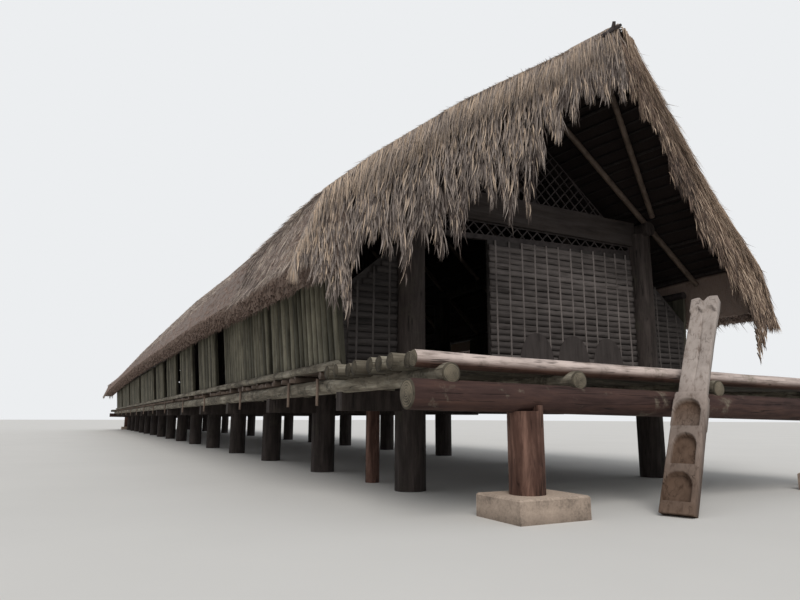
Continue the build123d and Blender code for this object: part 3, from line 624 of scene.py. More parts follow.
def make_finishes(t, w, b):
    """Makes every finish from the settings of thatch, timber and bamboo."""
    grass("slope_grass", t.dark, t.grey, t.straw)
    grass("rake_grass_left", t.dark, t.tan, t.tan_tip)
    grass("rake_grass_right", t.dark, t.orange, t.tan_tip)
    grass("cut_grass", shade(t.cut, 0.6), t.cut, t.grey)
    # The bed's grass colours are darker copies, painted shade under the bunches; its cut colour is a lighter
    # copy, painted light on the underside of the eaves.
    grass("bed_grass", shade(t.dark, 0.8), shade(t.grey, 0.7), t.grey, t.smoke, shade(t.cut, 1.25))
    timber("bark_upright", w.bark_dark, w.bark, w.bark_pale, (1.0, 1.0, 0.14), cracks=1.0, relief=0.008,
           scale=22)
    timber("bark_across", shade(w.beam, 0.5), w.beam, w.bark, GRAIN_X, w.moss, 0.1, cracks=0.8,
           relief=0.007)
    moss = (w.moss_dark, w.moss, w.moss_pale)
    # Painted shade: the deck logs' tone darkens their undersides towards this colour.
    timber("mossy_across", *moss, GRAIN_X, w.moss_pale, 0.3, cracks=0.6, shaded=(0.22, 0.21, 0.19))
    timber("mossy_along", *moss, GRAIN_Y, w.moss_dark, 0.4, cracks=0.8)
    # Painted shade: the edge log's tone puts the shade colour on its lower half.
    timber("bleached_across", w.ladder_dark, w.bleached, w.bleached, GRAIN_X, w.moss, 0.2, cracks=0.9,
           shaded=w.edge_log_shade, scale=34)
    # The plank's tone darkens it towards its foot and paints shade in the scoops, darkest under each arch.
    timber("ladder_plank", w.ladder_dark, w.ladder, shade(w.ladder, 1.2), (1.0, 1.0, 0.10), cracks=0.6,
           relief=0.002, scale=34, shaded=(0.34, 0.25, 0.19))
    timber("column_dark", shade(w.column, 0.5), w.column, shade(w.column, 1.8), GRAIN_Z, w.moss_dark, 0.2,
           cracks=0.8)
    timber("board_flat", shade(w.board, 0.6), w.board, shade(w.board, 1.3), GRAIN_Z, relief=0.002,
           scale=30)
    timber("tie_board", shade(w.column, 0.5), w.column, w.board, GRAIN_X, relief=0.003)
    pole = (b.pole_dark, b.pole, shade(b.pole, 1.4))
    timber("pole_across", *pole, GRAIN_X, relief=0.002, rough=(0.5, 0.8))
    timber("pole_slope", *pole, (0.5, 1.0, 0.5), relief=0.002, rough=(0.5, 0.8))
    timber("pole_upright", *shades(pole, 1.5), GRAIN_Z, relief=0.002)
    timber("floor_split", *pole, GRAIN_Y, relief=0.003)
    culm = (b.culm_dark, b.culm, shade(b.culm, 1.5))
    timber("wall_culm", *culm, GRAIN_Z, shade(b.culm, 0.7), 0.4, relief=0.002, rough=(0.55, 0.85),
           shaded=(0.22, 0.22, 0.20))
    # A third of the culm colours: painted shade on the wall seen between the culms.
    timber("wall_back_shade", *shades(culm, 0.3), GRAIN_Z, relief=0.004)
    weave = (b.weave_dark, b.weave, shade(b.weave, 1.3))
    woven = (0.45, 0.44, 0.44)
    timber("weave_slat", *weave, GRAIN_X, relief=0.002, rough=(0.6, 0.9), scale=40, shaded=woven)
    timber("weave_rib", *shades(weave, 1.3), GRAIN_Z, relief=0.002)
    # A third of the woven colours: painted shade on the wall seen between the slats.
    timber("weave_back_shade", *shades(weave, 0.3), GRAIN_X, relief=0.004)
    # Darker copies of the woven colours: painted shade on the side panels under the fringes.
    timber("side_slat", *shades(weave, 0.4), GRAIN_X, relief=0.002, scale=40, shaded=woven)
    timber("side_rib", *shades(weave, 0.5), GRAIN_Z, relief=0.002)
    smoke = (shade(b.smoke, 0.5), b.smoke, shade(b.smoke, 1.6))
    timber("smoked", *smoke, (0.6, 0.6, 0.6), relief=0.002, rough=(0.5, 0.85))
    timber("smoked_lath", *smoke, GRAIN_Y, relief=0.002, shaded=(0.4, 0.4, 0.4))
    cast_stone("footing_stone", w.stone, shade(w.stone, 0.45))
    end_wood("log_end", w.end_grain, w.moss_dark)
    # A darker copy of the end grain: painted shade on the deck log ends.
    end_wood("log_end_dark", shade(w.end_grain, 0.45), shade(w.moss_dark, 0.5))


# The nodes of the frame that keep their meshes, under the finish that they get
CARRIED = {
    "footing_stone": "footings",
    "bark_upright": "deck_posts prop_post",
    "bark_across": "front_deck_beam rear_deck_beam",
    "mossy_along": "left_side_bearer right_side_bearer middle_bearers side_rails",
    "column_dark": "left_columns right_columns floor_beams roof_plates",
    "pole_across": "floor_joists",
    "floor_split": "floor",
    "wall_back_shade": "left_wall right_wall",
    "weave_back_shade": "front_woven_wall rear_woven_wall front_side_panels rear_side_panels",
    "smoked": "wall_plates front_head_rail rear_head_rail front_lattice_band rear_lattice_band "
              "front_gable_lattice rear_gable_lattice king_posts ridge_pole left_purlins right_purlins",
    "board_flat": "arched_boards",
    "tie_board": "tie_beams",
    "pole_slope": "left_rafters right_rafters prow_rafters",
    "bed_grass": "left_thatch right_thatch ridge_cap",
}


class Making:
    """What the operators share: they add pieces and say when they are done."""
    bl_options = {"REGISTER", "UNDO"}

    def execute(self, context):
        self.make(context.scene.longhouse)
        return {"FINISHED"}


class DressFrame(Making, bpy.types.Operator):
    """Make the finishes and put them on the parts of the frame"""
    bl_idname = "longhouse.dress_frame"
    bl_label = "Dress the frame"

    def make(self, settings):
        make_finishes(settings.thatch, settings.timber, settings.bamboo)
        for finish, nodes in CARRIED.items():
            for node in nodes.split():
                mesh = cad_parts[node].data
                mesh.materials.clear()
                mesh.materials.append(bpy.data.materials[finish])


def by_side(seed):
    """Each side of the house: its sign, its name and its own random draws."""
    for side, name in SIDES:
        yield side, name, np.random.default_rng(seed + side)


def by_quarter(seed):
    """Each quarter of the roof: its side, its half, its name and its own random draws."""
    for side, side_name in SIDES:
        for half, end in ENDS:
            yield side, half, f"{side_name}_{end}", np.random.default_rng(seed + side + 5 * half)


def placed(points, side, half=0):
    """Points of the front left quarter brought to another quarter: to a side, and to the rear."""
    points[:, 0] *= side
    if half:
        points[:, 1] = LENGTH - points[:, 1]
    return points


class AddSlopeThatch(Making, bpy.types.Operator):
    """Lay bunches of grass on both slopes of the roof, thickest near the ends"""
    bl_idname = "longhouse.add_slope_thatch"
    bl_label = "Slope thatch"

    def make(self, settings):
        for side, half, name, rng in by_quarter(11):
            shape = slope_strands(side, half, settings.thatch, rng)
            shape.build(f"{name}_slope_grass", "slope_grass", "thatch", False)


def slope_strands(side, half, t, rng):
    """Bunches on one quarter of the roof. Places along it follow a density that falls away from the end;
    places across it are even. Each bunch lies down the slope, turned towards the roof's end near it,
    finer and a little longer there, and reaches over the steep edge only at the corner."""
    n = t.slope_strands if side < 0 and not half else t.far_strands
    grid = np.linspace(ROOF_FRONT_Y, LENGTH / 2, 400)
    back = grid - ROOF_FRONT_Y
    total = np.cumsum(1 + 5.0 * np.exp(-back / 1.6) + 1.5 * np.exp(-back / 5))
    y = np.interp(rng.uniform(total[0], total[-1], n), total, grid)
    x = 0.05 + rng.uniform(0.0, 1.0, n) * 1.75
    corner = (y < 0.9) & (rng.uniform(size=n) < 0.22)
    x = np.where(corner, rng.uniform(1.76, 1.94, n), x)
    keep = y > prow(x) + 0.01
    x, y, corner = x[keep], y[keep], corner[keep]
    n = len(x)
    z = thatch_top(x, y)
    step = 0.02
    fall = (thatch_top(x + step, y) - z) / step
    down = unit(np.stack((np.ones(n), np.zeros(n), fall), axis=-1))
    out = np.stack((-down[:, 2], np.zeros(n), down[:, 0]), axis=-1)
    aims = down + out * np.abs(rng.normal(0.06, 0.045, n))[:, None]
    aims[:, 1] = rng.normal(0, 0.17, n) - 0.55 * np.exp(-(y - prow(x)) / 0.6)
    roots = np.stack((x, y, z), axis=-1) - out * 0.004
    lengths = t.strand_length * np.interp(y, (0, 2), (0.85, 0.6)) * rng.uniform(0.55, 1.15, n)
    lengths = np.where(x > 1.66, np.minimum(lengths, 0.06), lengths)
    lengths = np.where(corner, rng.uniform(0.08, 0.16, n), lengths)
    widths = t.strand_width * np.interp(y, (0, 3, 10), (1, 1.5, 2.4)) * rng.uniform(0.7, 1.35, n)
    patch = 0.10 * np.sin(x * 7 + 1.7 * np.sin(y * 2.1)) * np.sin(y * 1.3 + 2 * x)
    tone = np.clip(0.50 + patch + rng.normal(0, 0.20, n), 0, 1)
    tone = np.where(rng.uniform(size=n) < 0.08, 0.98, tone)
    tips = roots + unit(aims) * lengths[:, None]
    return strands(placed(roots, side, half), placed(tips, side, half), widths, tone, rng)


class AddRakeFringes(Making, bpy.types.Operator):
    """Hang the grass fringes on the roof's front and rear edges"""
    bl_idname = "longhouse.add_rake_fringes"
    bl_label = "Rake fringes"

    def make(self, settings):
        for side, half, name, rng in by_quarter(31):
            shape = rake_strands(side, half, settings.thatch, rng)
            shape.build(f"{name}_fringe", "rake_grass_" + name.split("_")[0], "thatch", False)


def rake_strands(side, half, t, rng):
    """The fringe of one roof edge, a curtain of overlapping bunches. Two in five start on the slope and run
    over the edge; the roots of the others are spread down the curtain, whose depth goes in clumps. High
    bunches run down the slope a little and low ones hang straight."""
    depth, clump, lean = ((t.fringe_left, 0.10, t.left_slant) if side < 0
                          else (t.fringe_right, 0.13, t.right_slant))
    n = t.rake_strands // (2 if half else 1)
    x = np.where(rng.uniform(size=n) < 0.15, rng.uniform(0, 0.28, n), rng.uniform(0.01, 1.94, n))
    draped = rng.uniform(size=n) < 0.42
    behind = np.where(draped, rng.uniform(0.03, 0.40, n), rng.uniform(0.0, 0.04, n))
    edge_x = np.minimum(x + 0.5 * behind, 1.945)
    edge = prow(edge_x)
    pole_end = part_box("ridge_pole")[0].y - FIRST_COLUMNS_Y - 0.012
    edge_y = np.where(edge_x < 0.12, np.minimum(edge, pole_end), edge)
    top = thatch_top(edge_x, edge)
    under = rafter_line(np.minimum(edge_x, EAVE_INNER_X), edge, 0.069)
    under = np.where(edge_x > EAVE_INNER_X, thatch_top(np.full(n, EAVE_X), edge) + 0.02, under)
    place = np.floor(edge_x / clump + 0.35 * np.sin(edge_x * 21))
    off_centre = edge_x / clump - place - 0.5
    reach = rng.uniform(0.62, 1.0, 64)[place.astype(int) % 64]
    hang = depth * reach * (1.1 - 0.6 * np.abs(off_centre))
    hang *= np.interp(edge_x, FRINGE_X, FRINGE_SHARE[side]) * (0.5 if half else 1.0)
    low = rng.uniform(0.07, 0.18, n) * np.interp(edge_x, (1.5, 1.9), (1.0, 0.6))
    low = np.where(draped, low * 1.4, low)
    down = np.where(draped, 0, rng.uniform(0, 1, n) ** 0.85)
    y = prow(x) + behind
    hung_z = top - down * np.maximum(top - under + hang - low, 0.02)
    roots = np.stack((x, np.where(draped, y, edge_y - 0.004 - 0.03 * down),
                      np.where(draped, roof_top(x, y) - 0.004, hung_z)), axis=-1)
    slant = lean * (1 - 0.7 * down) * np.interp(edge_x, (0.05, 0.4, 1.5, 1.95), (0.1, 1, 1, 0.2))
    gather = rng.normal(0, 0.13, n) - 0.25 * off_centre * down
    way = np.stack((slant + gather, -rng.uniform(0.0, 0.25, n), -np.ones(n)), axis=-1)
    over = np.stack((edge_x, edge_y - rng.uniform(0.008, 0.035, n), roof_top(edge_x, edge) + 0.004), axis=-1)
    middles = np.where(draped[:, None], over, roots + way * low[:, None] * 0.5 - (0, 0.008, 0))
    tips = np.where(draped[:, None], over, roots) + way * low[:, None]
    widths = t.strand_width * rng.uniform(0.7, 1.4, n)
    # Painted shade: bunches rooted lower in the curtain, under the others, are darker.
    tone = np.clip(0.64 + rng.normal(0, 0.27, n) - 0.42 * down, 0, 1)
    tone = np.where(rng.uniform(size=n) < 0.1, 1.0, tone)
    roots, middles, tips = (placed(points, side, half) for points in (roots, middles, tips))
    return strands(roots, tips, widths, tone, rng, middles)


class AddEaveAndCapThatch(Making, bpy.types.Operator):
    """Trim the eaves with short grass and cover the ridge cap"""
    bl_idname = "longhouse.add_eave_and_cap_thatch"
    bl_label = "Eave and ridge thatch"

    def make(self, settings):
        for side, name, rng in by_side(51):
            shape = eave_strands(side, settings.thatch, rng)
            shape.build(f"{name}_eave_grass", "cut_grass", "thatch", False)
        shape = cap_strands(settings.thatch, np.random.default_rng(61))
        shape.build("ridge_cap_grass", "slope_grass", "thatch", False)


def near_ends(rng, n, overhang, power):
    """Places along the roof, denser towards its ends; three in four are counted from the front."""
    whole = LENGTH + 2 * overhang
    back = rng.uniform(0, 1, n) ** power * whole
    return -overhang + np.where(rng.uniform(size=n) < 0.25, whole - back, back)


def eave_strands(side, t, rng):
    """Stubble along the eave: half of it on the steep trimmed band, half under its cut face."""
    n = t.eave_strands
    y = near_ends(rng, n, EAVE_END_Y, 2)
    x = rng.uniform(1.79, EAVE_X, n)
    under = rng.uniform(size=n) < 0.5
    x = np.where(under, EAVE_X - (EAVE_X - x) * 1.8, x)
    z = np.where(under, thatch_top(np.full(n, EAVE_X), y) + 0.012, thatch_top(x, y))
    roots = np.stack((x - 0.004, y, z), axis=-1)
    way = np.stack((rng.uniform(0.4, 0.95, n), rng.normal(0, 0.25, n), -np.ones(n)), axis=-1)
    way[:, 0] -= 0.6 * under
    tips = roots + way * rng.uniform(0.02, 0.045, n)[:, None]
    widths = t.strand_width * rng.uniform(0.9, 2.0, n)
    tone = np.clip(rng.normal(0.5, 0.2, n), 0, 1)
    return strands(placed(roots, side), placed(tips, side), widths, tone, rng)


def cap_strands(t, rng):
    """Bunches bent over the ridge, from just beside it down both sides."""
    n = t.cap_strands
    y = near_ends(rng, n, CAP_END_Y, 1.7)
    x = rng.uniform(0.0, 0.31, n)
    behind = fold(y) > prow(x) + 0.01
    x, y = x[behind], y[behind]
    n = len(x)
    side = np.where(rng.uniform(size=n) < 0.5, -1.0, 1.0)
    step = 0.01
    fall = (roof_top(x + step, y) - roof_top(x, y)) / step
    down = unit(np.stack((side, np.zeros(n), fall), axis=-1))
    drift = rng.normal(0, 0.2, n)
    drift = np.where(fold(y) < -0.6, np.sign(LENGTH / 2 - y) * np.abs(drift), drift)
    loose = np.stack((np.zeros(n), drift, 0.04 + np.abs(rng.normal(0.03, 0.02, n))), axis=-1)
    roots = np.stack((side * x, y, roof_top(x, y) - 0.002), axis=-1)
    tips = roots + (down + loose) * rng.uniform(0.08, 0.17, n)[:, None]
    widths = t.strand_width * np.interp(fold(y), (0, 3, 10), (1, 1.5, 2.2)) * rng.uniform(0.7, 1.3, n)
    return strands(roots, tips, widths, np.clip(rng.normal(0.5, 0.2, n), 0, 1), rng)


class AddRoofLaths(Making, bpy.types.Operator):
    """Run thin laths under the thatch, from edge to edge"""
    bl_idname = "longhouse.add_roof_laths"
    bl_label = "Roof laths"

    def make(self, settings):
        for side, name, rng in by_side(71):
            shape = Shape()
            for x in np.linspace(0.12, 1.63, settings.bamboo.lath_count):
                if np.min(np.abs(np.array(PURLIN_XS) - x)) >= 0.035:
                    lath(shape, side, x, rng)
            shape.build(f"{name}_laths", "smoked_lath", "bamboo")


def lath(shape, side, x, rng):
    """One lath: a small circle carried along the underside of the thatch."""
    front = float(prow(x)) + 0.03
    y = np.sort(np.concatenate((
        [front, -0.5 * (0.12 - front) - 0.06, -0.12, 1.4, 3.03], np.linspace(4.0, LENGTH - 4.0, 10),
        [LENGTH - 3.03, LENGTH - 1.4, LENGTH + 0.12, LENGTH - front - 0.2, LENGTH - front])))
    z = rafter_line(np.full(len(y), x), y, RAFTER_D + 2 * LATH_R)
    path = np.stack((side * x + rng.normal(0, 0.004, len(y)), y, z), axis=-1)
    tube(shape, path, LATH_R, 6, rng.uniform(0.2, 0.8))


class AddWallCulms(Making, bpy.types.Operator):
    """Stand split bamboo culms side by side on both long walls"""
    bl_idname = "longhouse.add_wall_culms"
    bl_label = "Wall culms"

    def make(self, settings):
        for side, name, rng in by_side(81):
            shape = Shape()
            for y0, y1 in wall_spans():
                fitted = max(1, round((y1 - y0) / settings.bamboo.culm_pitch))
                for i in range(fitted):
                    culm(shape, side, y0 + (i + 0.5) * (y1 - y0) / fitted, settings.bamboo, rng)
            shape.build(f"{name}_wall_culms", "wall_culm", "wall_bamboo")


def wall_spans():
    """The stretches of side wall between the window openings."""
    edges = [0.0, *SLOT_YS]
    for bay in WINDOW_BAYS:
        edges += [bay * BAY + WINDOW_FROM, bay * BAY + WINDOW_TO]
    edges.append(LENGTH)
    return list(zip(edges[0::2], edges[1::2]))


def culm(shape, side, y, b, rng):
    """One split culm, a flattened bar up the leaning wall that swells at each node."""
    rows = 15
    z = np.linspace(FLOOR_Z + 0.004, PLATE_UNDER_Z - 0.002, rows)
    x = WALL_FOOT_X + WALL_LEAN * (z - FLOOR_Z) + 0.002
    turns = np.linspace(0, 1, rows) * 3.4 + rng.uniform(0, 1)
    swell = np.maximum(0, np.cos(turns * 2 * math.pi)) ** 12
    width = b.culm_width / 2 * (rng.uniform(0.86, 1.1) + 0.06 * swell)
    walk = np.cumsum(rng.normal(0, 0.0012, rows))
    path = np.stack((side * x, y + walk - walk.mean(), z), axis=-1)
    tube(shape, path, width, 10, rng.uniform(0.1, 0.95), squash=b.culm_rise / (b.culm_width / 2),
         reference=AXIS_X)


class AddWovenPanels(Making, bpy.types.Operator):
    """Weave slats over ribs on the end walls"""
    bl_idname = "longhouse.add_woven_panels"
    bl_label = "Woven panels"

    def make(self, settings):
        inner, outer = COLUMN_X - COLUMN_R - 0.003, COLUMN_X + COLUMN_R + 0.003
        for half, end in ENDS:
            rng = np.random.default_rng(91 + half)
            shape = Shape()
            weave(shape, DOOR_RIGHT_X + 0.003, inner, head_z, half, settings.bamboo, rng)
            shape.build(f"{end}_weave", "weave_slat weave_rib", "woven_bamboo")
            shape = Shape()
            for side, _ in SIDES:
                x0, x1 = sorted((side * outer, side * (WALL_FOOT_X - 0.03)))
                weave(shape, x0, x1, panel_top, half, settings.bamboo, rng)
            # The side panels take the darker copies: painted shade under the fringes.
            shape.build(f"{end}_shaded_side_weave", "side_slat side_rib", "woven_bamboo")


def head_z(x):
    """Underside of the head rail, which climbs to the right."""
    half = COLUMN_X - COLUMN_R
    return HEAD_Z + (x + half) / (2 * half) * HEAD_RISE


def panel_top(x):
    """Sloped top of the panels outside the columns."""
    return PANEL_Z - PANEL_FALL * (np.abs(x) - COLUMN_X - COLUMN_R)


def weave(shape, x0, x1, top, half, b, rng):
    """Slats that wave over and under upright ribs: each slat is a flat bar whose distance from the wall
    is a sine of its place along the wall, turned by half a wave in every second row."""
    out = 1 if half else -1
    face = LENGTH + 0.006 if half else -0.006
    ribs = max(2, round((x1 - x0) / b.rib_pitch))
    pitch = (x1 - x0) / ribs
    rows = 9
    for i in range(ribs):
        x = x0 + (i + 0.5) * pitch
        z = np.linspace(FLOOR_Z + 0.002, float(top(x)) - 0.003, rows)
        walk = np.cumsum(rng.normal(0, 0.0016, rows))
        path = np.stack((x + walk - walk.mean(), np.full(rows, face + out * 0.006), z), axis=-1)
        tube(shape, path, 0.0085, 6, rng.uniform(0.5, 1), finish=1, squash=0.6, reference=AXIS_Y)
    slats = int((float(np.max(top(np.array((x0, x1))))) - FLOOR_Z) / b.slat_pitch)
    for row in range(slats):
        z = FLOOR_Z + (row + 0.5) * b.slat_pitch
        x = np.linspace(x0, x1, ribs * 6 + 1)
        x = x[top(x) - 0.012 > z + 0.01]
        if len(x) < 4:
            continue
        wave = np.cos((x - x0) / pitch * math.pi + row * math.pi)
        sag = 0.003 * ripple(x, rng, 3, 4.0)
        path = np.stack((x, face + out * 0.005 + out * 0.0035 * wave, z + sag), axis=-1)
        tone = min(rng.uniform(0.1, 0.9) + (0.3 if row in (15, 16) else 0), 1)
        tube(shape, path, 0.0265 + 0.0012 * ripple(x, rng, 3, 9.0), 4, tone, start_angle=math.pi / 4,
             squash=1.0 / 6, reference=AXIS_Y)


class AddDeckLogs(Making, bpy.types.Operator):
    """Lay crooked logs on both decks in place of the plain ones"""
    bl_idname = "longhouse.add_deck_logs"
    bl_label = "Deck logs"

    def make(self, settings):
        rng = np.random.default_rng(101)
        edge = Shape()
        edge_log(edge, rng)
        made = edge.build("edge_log_shaded_below", "bleached_across log_end", "bleached_log")
        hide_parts("front_edge_log")
        for half, node in ((0, "front_deck_logs"), (1, "rear_deck_logs")):
            shape = Shape()
            for i in range(1 - half, DECK_LOGS):
                crooked_log(shape, EDGE_LOG_Y + LOG_PITCH * i, half, i, rng)
            made = shape.build(node.replace("logs", "logs_crooked"), "mossy_across log_end_dark", "mossy_log")
            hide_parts(node)


def log_places(index, rows):
    """Places along one deck log, whose ends are staggered as cut by hand."""
    return np.linspace(-DECK_HALF + 0.028 * math.sin(2.4 * index),
                       DECK_HALF + 0.028 * math.cos(1.7 * index), rows)


def deck_drop(x, y):
    """How far the worn deck has sunk: more to the right, and more towards its edge."""
    return DECK_SINK * (x + DECK_HALF) * (y - DECK_INNER_Y) / (BEAM_Y - DECK_INNER_Y)


def crooked_log(shape, y, half, index, rng):
    """One deck log: rings along a slightly bent line, with a radius that wanders along and round the log."""
    rows, sides = 34, 12
    x = log_places(index, rows)
    angle = round_angles(sides)
    radius = 0.0365 + 0.0022 * ripple(x, rng, 4, 1.6)[:, None]
    radius = radius + 0.0015 * np.sin(angle * 3 + x[:, None] * 4 + rng.uniform(0, 6))
    z = LOG_Z - deck_drop(x, y) + 0.0015 * ripple(x, rng, 3, 1.4)
    y = y + 0.002 * ripple(x, rng, 3, 1.2)
    path = np.stack((x, LENGTH - y if half else y, z), axis=-1)
    # Painted shade: each log is darker underneath and lighter on top, with a random share for each log.
    tone = np.tile(0.50 + 0.5 * np.sin(angle), rows) * rng.uniform(0.75, 1.0)
    tube(shape, path, radius, sides, np.append(tone, (0.3, 0.3)), cap=1, dome=rng.uniform(0.002, 0.012))


def edge_log(shape, rng):
    """The deck's edge log: a slightly uneven round section carried along a bent line, with a darker
    colour painted on its lower half as shade."""
    rows, sides = 70, 20
    x = log_places(0, rows)
    angle = round_angles(sides)
    radius = 0.0375 + 0.0016 * ripple(x, rng, 5, 1.5)[:, None] + 0.0012 * np.sin(angle * 5 + x[:, None] * 7)
    z = LOG_Z - deck_drop(x, EDGE_LOG_Y) + 0.001 * ripple(x, rng, 3, 1.1)
    path = np.stack((x, np.full(rows, EDGE_LOG_Y), z), axis=-1)
    # Painted shade: the lower half of the log takes the darker shade colour.
    tone = np.tile(np.clip(0.72 + 1.6 * np.sin(angle), 0, 1), rows)
    tube(shape, path, radius, sides, np.append(tone, (0.5, 0.5)), cap=1, dome=0.004)


class AddLadder(Making, bpy.types.Operator):
    """Carve the notched plank ladder"""
    bl_idname = "longhouse.add_ladder"
    bl_label = "Notched ladder"

    def make(self, settings):
        shape = ladder(np.random.default_rng(111))
        made = shape.build("log_ladder_carved", "ladder_plank", "ladder_wood")
        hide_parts("log_ladder")


def ladder(rng):
    """The ladder's plank: a flattened ring of points carried up the lean. Its front is cut back by scoops
    that run up from each tread under a round arch; above the top step it is narrower and thinner, up to a
    scallop of two bumps under the head, which is split into two horns."""
    lean = unit(LADDER_LEAN)
    across = unit(np.array((lean[1], -lean[0], 0.0)))
    depth = np.cross(lean, across)
    rows, wide = 300, 33
    t = np.linspace(0.0, LADDER_LENGTH, rows)
    up, v = t[:, None], np.linspace(-1, 1, wide)[None, :]
    half = 0.074 + 0.002 * ripple(t, rng, 4, 5.0) - 0.008 * np.clip((t - 0.63) / 0.01, 0, 1)
    half = half + 0.003 * np.interp(t, (0.44, 0.45, 0.598, 0.60), (0, 1, 1, 0))
    bend = 0.012 * np.clip((t - 0.7) / 0.5, 0, 1) ** 1.5
    front = -0.033 + 0.003 * v ** 4 + 0.0008 * ripple(t, rng, 5, 20)[:, None]
    # Painted shade in each scoop, deepest under its arch, is gathered here.
    scoop_shade = np.zeros((rows, wide))
    for low, high, wide_from in LADDER_STEPS:
        span = (v - wide_from) / (0.72 - wide_from) * 2 - 1
        arch = high - 0.075 * (1 - np.sqrt(np.clip(1 - span ** 2, 0, 1)))
        inside = (up > low) & (up < np.where(np.abs(span) < 1, arch, low))
        climb = (up - low) / (high - low)
        front = front + np.where(inside, 0.026 + 0.008 * climb, 0)
        scoop_shade = scoop_shade + np.where(inside, 0.25 + 0.4 * climb, 0)
    bumps = 1.186 - 0.028 * np.abs(np.cos((v - 1) * math.pi)) ** 3
    front = front + np.where((up > 0.639) & (up < bumps), 0.018, 0)
    crack = np.exp(-((v - 0.05 - 0.1 * np.sin(up * 9)) / 0.035) ** 2)
    front = front + 0.008 * crack * np.interp(t, (0.68, 0.75, 1.1, 1.15), (0, 1, 1, 0))[:, None]
    back = np.full((rows, wide), 0.033) - 0.004 * v ** 4
    x = v * half[:, None] + bend[:, None]
    ring = np.concatenate((np.stack((x, front), axis=-1),
                           np.stack((x[:, ::-1], back[:, ::-1]), axis=-1)), axis=1)
    middle = ring[..., 0] / 0.07
    dip = 0.030 * np.exp(-((middle - 0.15) / 0.22) ** 2) + 0.012 * np.clip(-middle, 0, 1)
    height = up - dip * np.clip((up - 1.19) / 0.064, 0, 1)
    points = LADDER_FOOT + ring[..., :1] * across + ring[..., 1:] * depth + height[..., None] * lean
    points[..., 2] = np.maximum(points[..., 2], 0.0)
    sides = ring.shape[1]
    i = np.arange(wide - 1)
    foot = np.stack((i, i + 1, sides - 2 - i, sides - 1 - i), axis=-1)
    head = (foot + (rows - 1) * sides)[:, ::-1]
    # Tone: darker towards the foot, with random bands, and painted shade in the scoops.
    tone = np.clip((points[..., 2] - 0.05) / 0.65, 0, 1) + 0.12 * ripple(points[..., 2] * 9, rng, 3)
    tone[:, :wide] -= scoop_shade
    shape = Shape()
    shape.add(points, np.concatenate((ring_faces(rows, sides), foot, head))[:, ::-1], tone.ravel())
    return shape


class AddLogEnds(Making, bpy.types.Operator):
    """Cover the sawn ends of the bearers and beams"""
    bl_idname = "longhouse.add_log_ends"
    bl_label = "Log ends"

    def make(self, settings):
        rng = np.random.default_rng(121)
        shape = Shape()
        for x in BEARER_XS:
            for y, way in ((BEARER_END_Y, -1), (LENGTH - BEARER_END_Y, 1)):
                end_disc(shape, (x, y, BEARER_Z - deck_drop(x, BEARER_END_Y)), (0, way, 0), BEARER_R, rng)
        for way in (-1, 1):
            for y in (BEAM_Y, LENGTH - BEAM_Y):
                x = way * BEAM_END_X
                end_disc(shape, (x, y, BEAM_Z - deck_drop(x, BEAM_Y)), (way, 0, 0), BEAM_R, rng)
        shape.build("log_end_faces", "log_end", "mossy_log")


def end_disc(shape, centre, way, radius, rng):
    """A thin, slightly domed disc with a ragged rim, for the end of a log."""
    ragged = radius * (0.985 + 0.025 * ripple(round_angles(20), rng, 4, 2.0))
    path = np.array(centre, float) + np.outer((-0.004, 0.003, 0.006), np.array(way, float))
    tube(shape, path, np.stack((ragged, ragged, ragged * 0.93)), 20, dome=0.003)


class AddPegsAndProps(Making, bpy.types.Operator):
    """Add the pegs under the floor, the joist ends and the stub at the ridge"""
    bl_idname = "longhouse.add_pegs_and_props"
    bl_label = "Pegs and props"

    def make(self, settings):
        rng = np.random.default_rng(131)
        pegs, ends, stub = Shape(), Shape(), Shape()
        rows = 5
        z = np.linspace(0.500, 0.665, rows)
        for side, _ in SIDES:
            for y in PEG_YS:
                path = np.stack((np.full(rows, side * PEG_X), y + rng.normal(0, 0.002, rows), z), axis=-1)
                tube(pegs, path, settings.timber.peg_diameter / 2, 6, 0.8, reference=AXIS_X)
        pegs.build("floor_pegs", "pole_upright", "bamboo")
        for side, _ in SIDES:
            for y in np.sort(rng.uniform(-0.02, LENGTH, 150)):
                r = rng.uniform(0.010, 0.017)
                x = np.array((1.44, 1.50, 1.53 + rng.uniform(0.005, 0.035)))
                path = np.stack((side * x, np.full(3, y), np.full(3, BEARER_Z + BEARER_R + r)), axis=-1)
                tube(ends, path, r, 7, rng.uniform(0, 1))
        ends.build("joist_ends", "pole_across", "red_brown_log")
        for path in (((-0.14, -0.87, 2.765), (-0.08, -0.90, 2.815), (-0.02, -0.92, 2.856)),
                     ((-0.09, -0.88, 2.800), (-0.07, -0.905, 2.832), (-0.076, -0.92, 2.863))):
            tube(stub, path, (0.015, 0.014, 0.010), 8, reference=AXIS_X)
        stub.build("ridge_stub", "smoked", "bamboo")


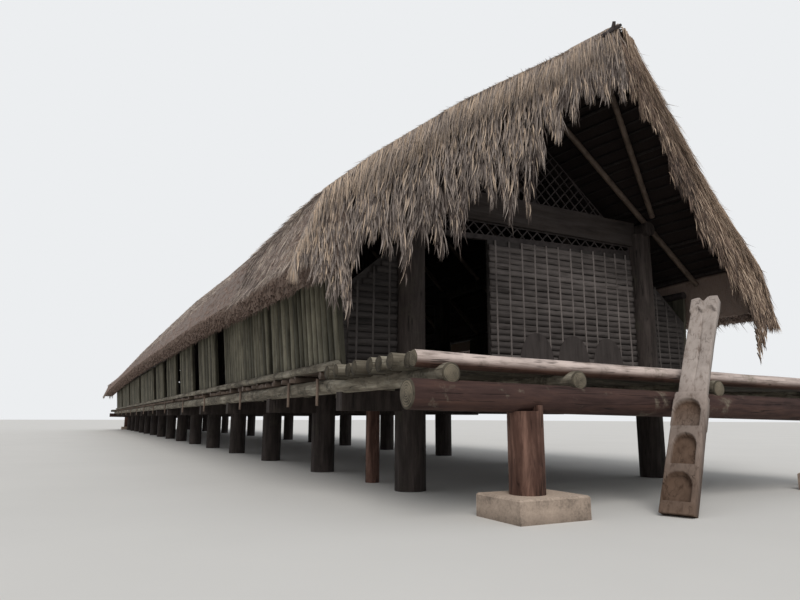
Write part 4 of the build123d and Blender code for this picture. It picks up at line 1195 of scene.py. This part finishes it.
class SetStage(Making, bpy.types.Operator):
    """Lay the pale floor, hang the soft lamps and set the camera"""
    bl_idname = "longhouse.set_stage"
    bl_label = "Stage"

    def make(self, settings):
        s = settings.stage
        coat = Coat("stage_floor")
        cloud = coat.noise(coat.place, 0.8, 3.0)
        tint = coat.ramp(cloud, (0.3, shade(s.floor, 0.96)), (0.7, s.floor))
        coat.close(tint, coat.spread(cloud, 0, 1, 0.9, 0.95), cloud, 0.001)
        mesh = bpy.data.meshes.new("stage_floor")
        mesh.from_pydata([(-90, -60, 0), (90, -60, 0), (90, 140, 0), (-90, 140, 0)], [], [(0, 1, 2, 3)])
        mesh.materials.append(coat.material)
        floor = put("stage_floor", mesh)
        light_scene(s)
        data = bpy.data.cameras.new("camera")
        data.lens = s.lens
        data.sensor_width = 36
        data.clip_end = 400
        camera = put("camera", data)
        place = Matrix.Translation((-2.8665, FIRST_COLUMNS_Y - 3.4390, 0.4245))
        turn = turned(-27.157, "Z") @ turned(100.716, "X")
        camera.matrix_world = place @ turn @ turned(0.128, "Z")
        bpy.context.scene.camera = camera
        bpy.context.scene.view_settings.view_transform = "Standard"


def turned(degrees, axis):
    """A turn about one axis."""
    return Matrix.Rotation(math.radians(degrees), 4, axis)


def light_scene(s):
    """A pale sky for soft light, a plain backdrop for the camera, and one broad lamp from the front left."""
    world = bpy.data.worlds.new("studio")
    bpy.context.scene.world = world
    world.use_nodes = True
    world.node_tree.nodes.clear()
    nodes = Nodes(world.node_tree)
    sky = nodes.node("Background", Color=(0.93, 0.96, 1.0), Strength=s.sky)
    plain = nodes.node("Background", Color=s.backdrop)
    mix = nodes.node("MixShader")
    seen = nodes.node("LightPath").outputs["Is Camera Ray"]
    for socket, value in zip(mix.inputs, (seen, sky.outputs[0], plain.outputs[0])):
        nodes.give(socket, value)
    nodes.node("OutputWorld", Surface=mix.outputs[0])
    data = bpy.data.lights.new("broad_lamp", "SUN")
    data.energy = s.lamp
    data.angle = math.radians(35)
    data.color = (1.0, 0.97, 0.93)
    put("broad_lamp", data).matrix_world = turned(-28, "Z") @ turned(48, "X")


class LonghousePanel(bpy.types.Panel):
    """Settings and pieces of the longhouse."""
    bl_idname = "VIEW3D_PT_longhouse"
    bl_label = "Longhouse"
    bl_space_type = "VIEW_3D"
    bl_region_type = "UI"
    bl_category = "Longhouse"

    def draw(self, context):
        settings = context.scene.longhouse
        for group in (settings.thatch, settings.timber, settings.bamboo, settings.stage):
            box = self.layout.box()
            for name in group.bl_rna.properties.keys():
                if name not in ("rna_type", "name"):
                    box.prop(group, name)
        for operator in PIECES:
            self.layout.operator(operator.bl_idname)


PIECES = (DressFrame, AddSlopeThatch, AddRakeFringes, AddEaveAndCapThatch, AddRoofLaths, AddWallCulms,
          AddWovenPanels, AddDeckLogs, AddLadder, AddLogEnds, AddPegsAndProps, SetStage)
CLASSES = (ThatchSettings, TimberSettings, BambooSettings, StageSettings, LonghouseSettings, *PIECES,
           LonghousePanel)


def register():
    """Registers the classes and the settings."""
    for item in CLASSES:
        bpy.utils.register_class(item)
    bpy.types.Scene.longhouse = bpy.props.PointerProperty(type=LonghouseSettings)


def unregister():
    """Takes the settings and the classes away."""
    del bpy.types.Scene.longhouse
    for item in reversed(CLASSES):
        bpy.utils.unregister_class(item)


def main():
    """Makes every piece in order."""
    register()
    for operator in PIECES:
        group, name = operator.bl_idname.split(".")
        getattr(getattr(bpy.ops, group), name)()


if __name__ == "__main__":
    main()
